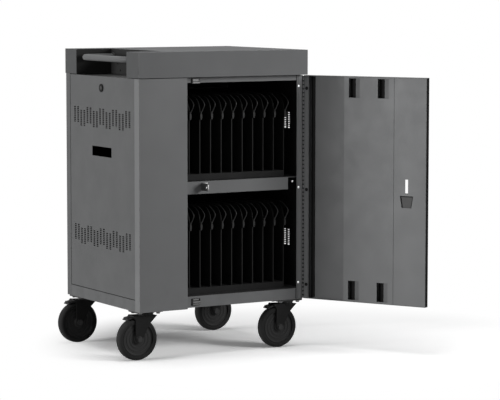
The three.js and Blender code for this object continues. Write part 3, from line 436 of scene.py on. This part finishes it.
def add_lathe(mesh, profile, point, axis, steps, closed=False):
    """Turns a profile of (radius, height) in millimetres about an axis. A radius of 0 closes an end, and
    closed joins the profile's end to its start."""
    start = len(mesh.verts)
    rings = []
    for radius, height in profile:
        if radius == 0:
            rings.append([mesh.verts.new((0, 0, height * MM))])
            continue
        ring = []
        for i in range(steps):
            a = 2 * math.pi * i / steps
            ring.append(mesh.verts.new((radius * MM * math.cos(a), radius * MM * math.sin(a), height * MM)))
        rings.append(ring)
    pairs = list(zip(rings, rings[1:]))
    if closed:
        pairs.append((rings[-1], rings[0]))
    for a, b in pairs:
        for i in range(steps):
            j = (i + 1) % steps
            if len(a) == 1:
                mesh.faces.new((a[0], b[i], b[j]))
            elif len(b) == 1:
                mesh.faces.new((a[i], b[0], a[j]))
            else:
                mesh.faces.new((a[i], b[i], b[j], a[j]))
    turn = Vector(axis).to_track_quat("Z", "Y").to_matrix().to_4x4()
    mesh.verts.ensure_lookup_table()
    bmesh.ops.transform(mesh, matrix=Matrix.Translation(point) @ turn, verts=mesh.verts[start:])


def add_tube(mesh, points, radius, sides):
    """A round tube along points in the frame, with flat ends."""
    rings = []
    direction = (points[1] - points[0]).normalized()
    side = direction.orthogonal().normalized()
    for i, point in enumerate(points):
        ahead = points[min(i + 1, len(points) - 1)] - points[max(i - 1, 0)]
        ahead.normalize()
        side = (side - ahead * side.dot(ahead)).normalized()
        other = ahead.cross(side)
        ring = []
        for k in range(sides):
            a = 2 * math.pi * k / sides
            ring.append(mesh.verts.new(point + (side * math.cos(a) + other * math.sin(a)) * radius * MM))
        rings.append(ring)
    for a, b in zip(rings, rings[1:]):
        for k in range(sides):
            n = (k + 1) % sides
            mesh.faces.new((a[k], a[n], b[n], b[k]))
    mesh.faces.new(list(reversed(rings[0])))
    mesh.faces.new(rings[-1])


def add_block(mesh, place, s, y, z):
    """A block between pairs of distances, depths and heights, put in place by a function."""
    corners = [mesh.verts.new(place(a, b, c)) for a in s for b in y for c in z]
    for side in ((0, 1, 3, 2), (4, 6, 7, 5), (0, 4, 5, 1), (2, 3, 7, 6), (0, 2, 6, 4), (1, 5, 7, 3)):
        mesh.faces.new([corners[i] for i in side])


def add_prism(mesh, place, outline, ends):
    """An outline of two coordinates, drawn out between two values of the third."""
    low, high = ([mesh.verts.new(place(a, b, end)) for a, b in outline] for end in ends)
    for i in range(len(outline)):
        j = (i + 1) % len(outline)
        mesh.faces.new((low[i], low[j], high[j], high[i]))
    mesh.faces.new(list(reversed(low)))
    mesh.faces.new(high)


def smooth_route(points, steps):
    """Points along a smooth curve through the given ones."""
    route = []
    ends = [points[0] * 2 - points[1]] + points + [points[-1] * 2 - points[-2]]
    for i in range(1, len(ends) - 2):
        a, b, c, d = ends[i - 1:i + 3]
        for k in range(steps):
            t = k / steps
            route.append(0.5 * (2 * b + (c - a) * t + (2 * a - 5 * b + 4 * c - d) * t * t
                                + (3 * b - a - 3 * c + d) * t ** 3))
    route.append(points[-1])
    return route


def piece(name, mesh, finish, body, edge=0.0):
    """Makes an object of a bmesh, shades it smooth except at sharp edges, and puts it on its body."""
    bmesh.ops.recalc_face_normals(mesh, faces=mesh.faces)
    data = bpy.data.meshes.new(name)
    mesh.to_mesh(data)
    mesh.free()
    data.materials.append(finish)
    data.polygons.foreach_set("use_smooth", [True] * len(data.polygons))
    data.set_sharp_from_angle(angle=SHARP_ANGLE)
    made = bpy.data.objects.new(name, data)
    bpy.context.collection.objects.link(made)
    if edge:
        round_edges(made, edge, EDGE_SEGMENTS)
    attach(made, body)
    return made


# Vent bars: each CAD vent is split into nine slits

VENT_TOPS = (721, 366.5)
VENT_PITCH = 20.65
VENT_HALF = 5.6
VENT_STEP = 9.5  # every other pair of columns stands this much lower
SLITS = 9
SLIT_PITCH = 5.5


def vent_bars(name, x_span, columns, lower, slit, finish, body):
    """The bars of both rows of vents in a wall. lower is how far the rows are below VENT_TOPS, and slit
    is the height of a slit."""
    x0, x1 = x_span
    first = MIDDLE_Y - (columns - 1) * VENT_PITCH / 2
    mesh = bmesh.new()
    for top in VENT_TOPS:
        for i in range(columns):
            y = first + i * VENT_PITCH
            high = top - lower - (i // 2 % 2) * VENT_STEP
            for k in range(SLITS - 1):
                z1 = high - slit - k * SLIT_PITCH
                z0 = z1 - SLIT_PITCH + slit
                add_box(mesh, at(x0, y - VENT_HALF, z0), at(x1, y + VENT_HALF, z1))
    piece(name, mesh, finish, body)


vent_bars("vent_bars_left", x_span=(1.55, 2.95), columns=18, lower=0, slit=3.4,
          finish=left_coat, body="side_panel")
vent_bars("vent_bars_right", x_span=(565.05, 566.45), columns=14, lower=19.7, slit=1.8,
          finish=right_coat, body="cabinet")

# Rubber edging along the rear and the foot of the lift-off side panel

EDGING_WIDTH = 2.0
EDGING_PROUD = 0.3


def panel_edging():
    low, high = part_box("side_panel")
    outer, inner = low.x - EDGING_PROUD * MM, low.x
    wide = EDGING_WIDTH * MM
    mesh = bmesh.new()
    add_box(mesh, Vector((outer, high.y - wide, low.z)), Vector((inner, high.y, high.z)))
    add_box(mesh, Vector((outer, low.y, low.z)), Vector((inner, high.y - wide, low.z + wide)))
    piece("panel_edging", mesh, rubber_and_painted_shade, "side_panel")


panel_edging()

# Push handle: a bent tube on turned end flanges

HANDLE_WALL = 116.6
HANDLE_ENDS = (89, 383)
HANDLE_HEIGHT = 868.5
HANDLE_RADIUS = 9.0
HANDLE_BEND = 40
HANDLE_FLANGE = [(8.9, 3.6), (10.6, 3.4), (12.2, 2.2), (12.9, 0.8), (12.9, 0), (8.9, 0)]
GRIP_X = 10
BEND_STEPS = 12


def bow_route():
    """The handle's centreline: out from the wall, round a bend, along the grip and back."""
    y0, y1 = HANDLE_ENDS

    def bend(start, corner, end):
        return [(start * (1 - t) + corner * 2 * t) * (1 - t) + end * t * t
                for t in (k / BEND_STEPS for k in range(BEND_STEPS + 1))]

    def place(x, y):
        return at(x, y, HANDLE_HEIGHT)

    near = bend(place(GRIP_X + HANDLE_BEND, y0), place(GRIP_X, y0), place(GRIP_X, y0 + HANDLE_BEND))
    far = bend(place(GRIP_X, y1 - HANDLE_BEND), place(GRIP_X, y1), place(GRIP_X + HANDLE_BEND, y1))
    return [place(HANDLE_WALL, y0)] + near + far + [place(HANDLE_WALL, y1)]


def push_handle():
    mesh = bmesh.new()
    add_tube(mesh, bow_route(), HANDLE_RADIUS, 28)
    handle = piece("handle_tube", mesh, handle_coat, "cabinet")
    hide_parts("push_handle")
    feet = bmesh.new()
    for y in HANDLE_ENDS:
        add_lathe(feet, HANDLE_FLANGE, at(HANDLE_WALL, y, HANDLE_HEIGHT), LEFT, 40, closed=True)
    piece("handle_flanges", feet, black_coat_and_shade, "cabinet")


push_handle()

# Places on the door, which is drawn shut and turned about the hinge

HINGE = (566, 21.5)
REST_ANGLE = math.radians(119)


def door_way(x, y):
    """A direction on the shut door, as it points with the door at rest."""
    c, k = math.cos(REST_ANGLE), math.sin(REST_ANGLE)
    return (x * c - y * k, x * k + y * c, 0)


def on_door(s, y, z):
    """A point of the door, given as its place when shut: distance from the pin, depth and height."""
    dx, dy, _ = door_way(-s, y - HINGE[1])
    return at(HINGE[0] + dx, HINGE[1] + dy, z)


def on_frame(s, y, z):
    """A point of the door frame, given as its distance from the pin, depth and height."""
    return at(HINGE[0] - s, y, z)


# Fasteners

SCREW_PROFILE = ((0, 0.45), (0.34, 0.45), (0.4, 1), (0.72, 0.92), (0.93, 0.6), (1, 0.2))
SCREW_SINK = 0.2


def screws(name, places, axis, finish, body, radius, height):
    """Low pan heads with a hollow for the driver."""
    profile = [(radius * r, height * h) for r, h in SCREW_PROFILE] + [(radius, -SCREW_SINK)]
    mesh = bmesh.new()
    for place in places:
        add_lathe(mesh, profile, place, axis, 20)
    piece(name, mesh, finish, body)


# Piano hinge: two leaves, whose short knuckles take turns on the pin

HINGE_SPAN = (146.9, 814.1)
KNUCKLE_PAIRS = 56
KNUCKLE_PITCH = (HINGE_SPAN[1] - HINGE_SPAN[0]) / KNUCKLE_PAIRS
KNUCKLE_RADIUS = 2.2
KNUCKLE_BORE = 1.25
KNUCKLE_CHAMFER = 0.3
LEAF_PLATE = (2.6, 16.4)  # from the pin's axis
LEAF_ROOT = (1.3, 3.4)  # from a knuckle to its plate
FRAME_LEAF = (22.75, 23.65)
DOOR_LEAF = (19.35, 20.25)
HINGE_SCREWS = (784, 481, 195)
FRAME_SCREW_X = 550.8
DOOR_SCREW_PLACE = 11  # from the pin's axis
DOOR_SCREW_DROP = 7


def hinge_leaf(side, place, depth, first, length, knuckle_finish, body):
    """A plate and its knuckles. depth gives the plate's faces, first is the height of the lowest knuckle
    above the hinge's end, and length is the height of a knuckle."""
    plate = bmesh.new()
    add_block(plate, place, LEAF_PLATE, depth, HINGE_SPAN)
    leaf = piece(f"hinge_plate_{side}", plate, hinge_coat, body, edge=0.3)
    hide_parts(f"hinge_leaf_{side}")
    end = KNUCKLE_RADIUS - KNUCKLE_CHAMFER
    ring = [
        (KNUCKLE_BORE, 0), (end, 0), (KNUCKLE_RADIUS, KNUCKLE_CHAMFER),
        (KNUCKLE_RADIUS, length - KNUCKLE_CHAMFER), (end, length), (KNUCKLE_BORE, length),
    ]
    knuckles = bmesh.new()
    for i in range(KNUCKLE_PAIRS):
        z0 = HINGE_SPAN[0] + i * KNUCKLE_PITCH + first
        add_lathe(knuckles, ring, place(0, HINGE[1], z0), UP, 16, closed=True)
        add_block(knuckles, place, LEAF_ROOT, depth, (z0, z0 + length))
    piece(f"hinge_knuckles_{side}", knuckles, knuckle_finish, body)


hinge_leaf("frame", on_frame, FRAME_LEAF, first=0.1, length=6.2, knuckle_finish=hinge_coat, body="cabinet")
# Painted shade: the door leaf's knuckles are black, standing for the shaded gaps between the frame's
# knuckles.
hinge_leaf("door", on_door, DOOR_LEAF, first=6.5, length=5.2, knuckle_finish=black_coat_and_shade, body="door")
frame_screws = [at(FRAME_SCREW_X, FRAME_LEAF[0], z) for z in HINGE_SCREWS]
door_screws = [on_door(DOOR_SCREW_PLACE, DOOR_LEAF[1], z - DOOR_SCREW_DROP) for z in HINGE_SCREWS]
screws("hinge_screws_frame", frame_screws, FRONT, screw_steel, "cabinet",
       radius=3.7, height=1.3)
# Painted shade: the door leaf's screws are black and wide, standing for their holes in shadow.
screws("hinge_screws_door_shade", door_screws, door_way(0, 1), rubber_and_painted_shade, "door",
       radius=5.2, height=0.7)

# Black strip on the face of the door's free edge, painted shade; foam seal beside its hinge; dark strips
# inside its stiffener, painted shadow in its cut-outs

STRIP_OUTLINE = [(406.1, 2.4), (406.45, 2.9), (406.6, 4.0), (406.6, 17.0), (406.45, 18.0), (406.1, 18.5)]
STRIP_HEIGHTS = (146, 815)
SEAL_AND_SHADOW_DEPTHS = (3.0, 4.6)
SEAL_AND_SHADOW_HEIGHTS = (149, 812)
SEAL_AND_SHADOW_PRESS = 0.4
SEAL_SPAN = (19.5, 31.4)
STIFFENER_SHADOW_SPANS = ((151.5, 166.5), (247, 262))


def seal_and_shadow_strips(name, spans):
    """Dark strips on the door's inner face, with their edges pressed in: the foam seal, and painted shadow
    inside the stiffener.
    """
    foot, top = SEAL_AND_SHADOW_DEPTHS
    mesh = bmesh.new()
    for s0, s1 in spans:
        outline = [(s0, foot), (s1, foot), (s1 - SEAL_AND_SHADOW_PRESS, top), (s0 + SEAL_AND_SHADOW_PRESS, top)]
        add_prism(mesh, on_door, outline, SEAL_AND_SHADOW_HEIGHTS)
    piece(name, mesh, rubber_and_painted_shade, "door")


# Painted shade: a black strip over the face of the door's free edge.
def edge_strip():
    mesh = bmesh.new()
    add_prism(mesh, on_door, STRIP_OUTLINE, STRIP_HEIGHTS)
    piece("door_edge_strip", mesh, painted_edge_shade, "door")


edge_strip()
seal_and_shadow_strips("door_seal", [SEAL_SPAN])
# Painted shadow: black strips behind the stiffener's cut-outs, on their hinge side.
seal_and_shadow_strips("stiffener_painted_shadow", STIFFENER_SHADOW_SPANS)

# Painted shadow on the back of the finger pull: a dark frame along its two sides and its upper edge

PULL_MIDDLE = 343
PULL_HALF_WIDTHS = (21, 15.25)  # at its top and its bottom
PULL_HEIGHTS = (469, 435)
PULL_FRAME = 2.6
PULL_FRAME_DEPTHS = (15.4, 16.2)


def pull_painted_shade():
    half_top, half_bottom = PULL_HALF_WIDTHS
    top, bottom = PULL_HEIGHTS
    outer = [(-half_bottom, bottom), (-half_top, top), (half_top, top), (half_bottom, bottom)]
    inner = [(s - math.copysign(PULL_FRAME, s), min(z, top - PULL_FRAME)) for s, z in outer]
    outline = [(PULL_MIDDLE + s, z) for s, z in outer + inner[::-1]]

    def on_back(s, z, y):
        return on_door(s, y, z)

    mesh = bmesh.new()
    add_prism(mesh, on_back, outline, PULL_FRAME_DEPTHS)
    piece("pull_painted_shade", mesh, rubber_and_painted_shade, "door")


pull_painted_shade()

# Dark joints where the bottom and top rails meet the hinge stile

JOINT_X = (542.5, 544.7)
JOINT_Y = (FRAME_Y - 0.25, FRAME_Y + 0.1)
RAIL_SPANS = ((145, 176.5), (801.5, 815.5))


def rail_joints():
    mesh = bmesh.new()
    for z0, z1 in RAIL_SPANS:
        add_box(mesh, at(JOINT_X[0], JOINT_Y[0], z0), at(JOINT_X[1], JOINT_Y[1], z1))
    piece("rail_joints", mesh, rubber_and_painted_shade, "cabinet")


rail_joints()

# Magnetic catches: steel plates on a housing drawn black and wider than them, painted shadow round the
# plates

HOUSING_X, HOUSING_Y = (184.5, 213), (21.2, 23.7)
HOUSING_BELOW, HOUSING_ABOVE = 1.6, 1.4
PLATE_X, PLATE_Y = (188, 212.2), (20.4, 21.6)
CATCH_SCREW_X = 209


def magnetic_catch(name, z0, plates):
    """plates gives the heights of each plate's lower and upper edges above z0."""
    top = max(high for low, high in plates)
    # Painted shadow: the housing is black and reaches past the plates at the sides, top and bottom.
    housing = bmesh.new()
    add_box(housing, at(HOUSING_X[0], HOUSING_Y[0], z0 - HOUSING_BELOW),
            at(HOUSING_X[1], HOUSING_Y[1], z0 + top + HOUSING_ABOVE))
    dark = piece(f"catch_shaded_housing_{name}", housing, black_plastic, "cabinet", edge=0.7)
    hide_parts(f"catch_{name}")
    metal = bmesh.new()
    for low, high in plates:
        add_box(metal, at(PLATE_X[0], PLATE_Y[0], z0 + low), at(PLATE_X[1], PLATE_Y[1], z0 + high))
    piece(f"catch_plates_{name}", metal, catch_steel, "cabinet", edge=0.35)
    head = at(CATCH_SCREW_X, PLATE_Y[0], z0 + sum(plates[-1]) / 2)
    screws(f"catch_screw_{name}", [head], FRONT, rubber_and_painted_shade, "cabinet",
           radius=2.4, height=0.5)


magnetic_catch("top", 799.5, ((0, 4.4), (5.8, 13.4)))
magnetic_catch("bottom", 152, ((0, 3.4), (5.6, 10.4), (13.4, 17.4)))

# Screws of the staple, the shelf bracket, the handle recess and the back panel

STAPLE_SCREWS = [at(233.5, 27.7, z) for z in (491, 503)]
BRACKET_SCREWS = [at(534.5, 31.8, 498.6)]
RECESS_ROWS = ((383, 880.8), (354, 848), (337, 828))
RECESS_SCREWS = [at(117, y, z) for row_y, z in RECESS_ROWS for y in (row_y, CART_DEPTH - row_y)]
BACK_SCREWS = [at(x, 470.5, z) for x in (20, 290, 545) for z in (170, 330, 490, 650, 800)]
screws("staple_screws", STAPLE_SCREWS, FRONT, steel, "cabinet", radius=2.4, height=1.0)
screws("bracket_screws", BRACKET_SCREWS, FRONT, zinc, "cabinet", radius=3.4, height=1.4)
screws("handle_screws", RECESS_SCREWS, LEFT, rubber_and_painted_shade, "cabinet", radius=3.0, height=1.2)
screws("back_screws", BACK_SCREWS, BACK, coat, "cabinet", radius=3.4, height=1.5)

# Casters: wheel, washers and pedal detail. Profiles are radii and distances along the axis.

TYRE_SIDE = [
    (46.0, 9.6), (46.6, 12.6), (48.2, 13.9), (50.4, 14.0), (51.2, 13.2), (52.4, 13.2), (53.2, 14.0),
    (55.5, 13.9), (58.6, 12.6), (60.8, 10.4), (62.1, 7.2), (62.5, 3.2),
]
DISC_FACE = [
    (5.6, 13.4), (8.4, 13.6), (12.8, 13.4), (14.0, 12.6), (15.2, 9.4), (18.0, 8.6), (22.4, 8.6),
    (23.2, 9.6), (27.0, 9.6), (27.8, 8.6), (32.4, 8.6), (33.2, 9.6), (37.6, 9.6), (38.4, 8.6),
    (43.6, 8.6), (45.2, 9.8), (46.1, 9.9),
]
RACE_COVER = [(20.6, 134.9), (23.4, 134.9), (24.2, 136.4), (23.4, 137.6), (20.6, 137.6)]
PLATE_WASHER = [(5.2, 139.7), (5.2, 138.6), (8.2, 138.6), (8.2, 139.7)]
PLATE_BOLTS = [(dx, dy) for dx in (-30, 30) for dy in (-21, 21)]
AXLE_WASHER = [(6.2, 18.3), (9.8, 18.3), (9.8, 19.2), (9.0, 19.8), (6.2, 19.8)]
PEDAL_PIVOT = -44.3  # from the swivel's axis
PEDAL_TOP = 129.4  # over the pivot
PEDAL_SLOPE = 3.6 / 24
PEDAL_RIBS = [-50.5 - 3.6 * i for i in range(5)]
RIB_HALF_WIDTH = 0.9
RIB_HALF_LENGTH = 12.4
RIB_BELOW, RIB_ABOVE = 1.6, 1.3


def both_sides(half):
    """A wheel's profile from that of its one side."""
    return [(radius, -height) for radius, height in half] + half[::-1]


def caster_wheel(corner, place):
    centre = at(place[0] - SWIVEL_TRAIL, place[1], WHEEL_RADIUS)
    tyre = bmesh.new()
    add_lathe(tyre, both_sides(TYRE_SIDE), centre, BACK, 96, closed=True)
    rim = piece(f"tyre_{corner}", tyre, tread, f"wheel_{corner}")
    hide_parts(f"caster_wheel_{corner}")
    disc = bmesh.new()
    add_lathe(disc, both_sides(DISC_FACE), centre, BACK, 72, closed=True)
    piece(f"wheel_disc_{corner}", disc, hub_plastic, f"wheel_{corner}")


def caster_detail(corner, place):
    x, y = place
    guard = bmesh.new()
    add_lathe(guard, RACE_COVER, at(x, y, 0), UP, 48, closed=True)
    piece(f"race_cover_{corner}", guard, black_coat_and_shade, "cabinet")
    washers = bmesh.new()
    for dx, dy in PLATE_BOLTS:
        add_lathe(washers, PLATE_WASHER, at(x + dx, y + dy, 0), UP, 24, closed=True)
    piece(f"plate_washers_{corner}", washers, steel, "cabinet")
    caps = bmesh.new()
    for way in (FRONT, BACK):
        add_lathe(caps, AXLE_WASHER, at(x - SWIVEL_TRAIL, y, WHEEL_RADIUS), way, 32, closed=True)
    piece(f"axle_washers_{corner}", caps, black_coat_and_shade, f"caster_{corner}")
    grip = bmesh.new()
    for rib in PEDAL_RIBS:
        z = PEDAL_TOP + (rib - PEDAL_PIVOT) * PEDAL_SLOPE
        add_box(grip, at(x + rib - RIB_HALF_WIDTH, y - RIB_HALF_LENGTH, z - RIB_BELOW),
                at(x + rib + RIB_HALF_WIDTH, y + RIB_HALF_LENGTH, z + RIB_ABOVE))
    piece(f"pedal_ribs_{corner}", grip, black_plastic, f"pedal_{corner}", edge=0.4)


for corner, place in CORNERS.items():
    caster_wheel(corner, place)
    caster_detail(corner, place)

# Charging leads: one loom in each bay, a lead for each slot, and its parked plug

RACK_X = 161.1
RACK_Y = 62
RACK_REAR = 400
FIN_MIDDLE = 1.5
FIN_NOSE = 40  # radius of a fin's upper front corner
STRIP_DEPTH = 42
LOOM_SETBACK = 20
LOOM_LIFT = 8
LOOM_RADIUS = 5.8
LOOM_X = POST_INNER_X - STRIP_DEPTH / 2  # where it drops to its power strip
LOOM_BEND = ((0, -96.7), (0, -40), (0, -9), (9, 0), (60, 0))  # to the right and up
LEAD_LIFT = 3.6  # a lead's centreline above its fin
LEAD_RADIUS = 1.75
LOOP_REACH = 12
LOOP_SIDE = 8
LOOP_DROP = 24
PLUG_DROP = 66
PLUG_HEIGHT = 17
PLUG_Y = RACK_Y - GAP - 4.5
PLUG_GRIP = (3.4, 4.4, -12, 0)  # half width, half depth, and its ends from the plug's top
PLUG_TIP = (2.6, 3.6, -17, -11.5)
RELIEF = [
    (0, 7.5), (1.9, 7.5), (2.5, 5.6), (2.2, 5.0), (2.7, 4.2), (2.4, 3.6), (3.0, 2.6), (3.2, 0), (0, 0),
]
RELIEF_SINK = 0.3
RELIEF_WAY = (0.2, -0.1, 1)


def lead_route(x, fin_top):
    """A lead's line: from the loom along its fin, over the front edge and down to its plug."""
    lie = fin_top + LEAD_LIFT
    plug_top = fin_top - PLUG_DROP + PLUG_HEIGHT
    return [
        at(x, RACK_REAR + LOOM_SETBACK, fin_top + LOOM_LIFT),
        at(x, RACK_REAR - LOOM_SETBACK, lie),
        at(x, (RACK_Y + RACK_REAR) / 2, lie),
        at(x + LOOP_SIDE / 8, RACK_Y + FIN_NOSE - LOOP_REACH / 2, lie),
        at(x + LOOP_SIDE * 0.6, RACK_Y + LOOP_REACH * 0.7, lie - LOOP_DROP / 4),
        at(x + LOOP_SIDE, RACK_Y - LOOP_REACH, lie - LOOP_DROP),
        at(x + LOOP_SIDE * 0.6, PLUG_Y - LOOP_REACH / 4, plug_top + LOOP_REACH),
        at(x, PLUG_Y, plug_top - 1),
    ]


def add_plug(mesh, x, plug_top):
    add_lathe(mesh, RELIEF, at(x, PLUG_Y, plug_top - RELIEF_SINK), RELIEF_WAY, 16)
    for half_x, half_y, low, high in (PLUG_GRIP, PLUG_TIP):
        add_box(mesh, at(x - half_x, PLUG_Y - half_y, plug_top + low),
                at(x + half_x, PLUG_Y + half_y, plug_top + high))


def charging_leads(name, fin_top):
    loom_y, loom_z = RACK_REAR + LOOM_SETBACK, fin_top + LOOM_LIFT
    fins = [RACK_X + FIN_MIDDLE + i * SLOT_PITCH for i in range(1, SLOTS + 1)]
    loom = [at(LOOM_X + dx, loom_y, loom_z + dz) for dx, dz in LOOM_BEND] + [at(fins[-1], loom_y, loom_z)]
    wires = bmesh.new()
    add_tube(wires, smooth_route(loom, 10), LOOM_RADIUS, 16)
    plugs = bmesh.new()
    for x in fins:
        add_tube(wires, smooth_route(lead_route(x, fin_top), 8), LEAD_RADIUS, 10)
        add_plug(plugs, x, fin_top - PLUG_DROP + PLUG_HEIGHT)
    leads = piece(f"leads_{name}", wires, cable, "cabinet")
    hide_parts(f"charging_leads_{name}")
    piece(f"lead_plugs_{name}", plugs, black_plastic, "cabinet", edge=0.6)


for bay, fin_top in FIN_TOPS.items():
    charging_leads(bay, fin_top)

# Power strip outlets: two flat contacts and a round one on the floor of each

STRIP_Y = 46
STRIP_DROP = 125  # below the loom
OUTLET_PITCH = 38
OUTLET_X = POST_INNER_X - STRIP_DEPTH + 9
CONTACT_PROUD, CONTACT_SINK = 1.6, 0.2
CONTACT_OFFSET = 5
CONTACT_HALF = 1.2
CONTACT_SPAN = (-2, 7)
EARTH_DROP = 7
EARTH_RING = [(1.2, 1.6), (3.0, 1.6), (3.0, -0.2), (1.2, -0.2)]


def outlet_pins(name, z):
    mesh = bmesh.new()
    for i in range(SLOTS):
        y = STRIP_Y + OUTLET_PITCH * (i + 0.5)
        for contact in (y - CONTACT_OFFSET, y + CONTACT_OFFSET):
            add_box(mesh, at(OUTLET_X - CONTACT_PROUD, contact - CONTACT_HALF, z + CONTACT_SPAN[0]),
                    at(OUTLET_X + CONTACT_SINK, contact + CONTACT_HALF, z + CONTACT_SPAN[1]))
        add_lathe(mesh, EARTH_RING, at(OUTLET_X, y, z - EARTH_DROP), LEFT, 16, closed=True)
    piece(name, mesh, grey_plastic, "cabinet", edge=0.3)


for bay, fin_top in FIN_TOPS.items():
    outlet_pins(f"outlet_faces_{bay}", fin_top + LOOM_LIFT - STRIP_DROP)

# Floor, in metres

FLOOR_HALF_SIZE = 30
FLOOR_DROP = 0.0004
FLOOR_SEEN = (1.4, 1.4, 1.4, 1)  # in the camera's view, where it shows the shadow
FLOOR_LIGHTING = (0.25, 0.25, 0.25, 1)  # for the light it sends back to the cart
FADE_CENTRE = (0.25, 0, 0)
FADE_RADII = (0.55, 0.85)


def floor_material():
    """Pale where the camera sees it, with the cart's shadow near by and white further off; a duller
    floor is what lights the cart from below."""
    mat = bpy.data.materials.new("floor")
    mat.use_nodes = True
    tree = mat.node_tree
    tree.nodes.clear()

    def diffuse(color):
        node = tree.nodes.new("ShaderNodeBsdfDiffuse")
        node.inputs["Color"].default_value = color
        return node.outputs["BSDF"]

    white = tree.nodes.new("ShaderNodeEmission")
    white.inputs["Strength"].default_value = BACKDROP_STRENGTH
    place = tree.nodes.new("ShaderNodeTexCoord").outputs["Object"]
    distance = vector_node(tree, "DISTANCE", place, FADE_CENTRE)["Value"]
    fade = range_node(tree, distance, FADE_RADII, curve="SMOOTHSTEP")
    shown = shader_mix(tree, fade, diffuse(FLOOR_SEEN), white.outputs["Emission"])
    surface = shader_mix(tree, seen_or_mirrored(tree), diffuse(FLOOR_LIGHTING), shown)
    out = tree.nodes.new("ShaderNodeOutputMaterial")
    tree.links.new(surface, out.inputs["Surface"])
    return mat


def studio_floor():
    mesh = bmesh.new()
    bmesh.ops.create_grid(mesh, x_segments=1, y_segments=1, size=FLOOR_HALF_SIZE)
    data = bpy.data.meshes.new("floor")
    mesh.to_mesh(data)
    mesh.free()
    floor = bpy.data.objects.new("floor", data)
    floor.location = (0, 0, -FLOOR_DROP)
    bpy.context.collection.objects.link(floor)
    data.materials.append(floor_material())


studio_floor()
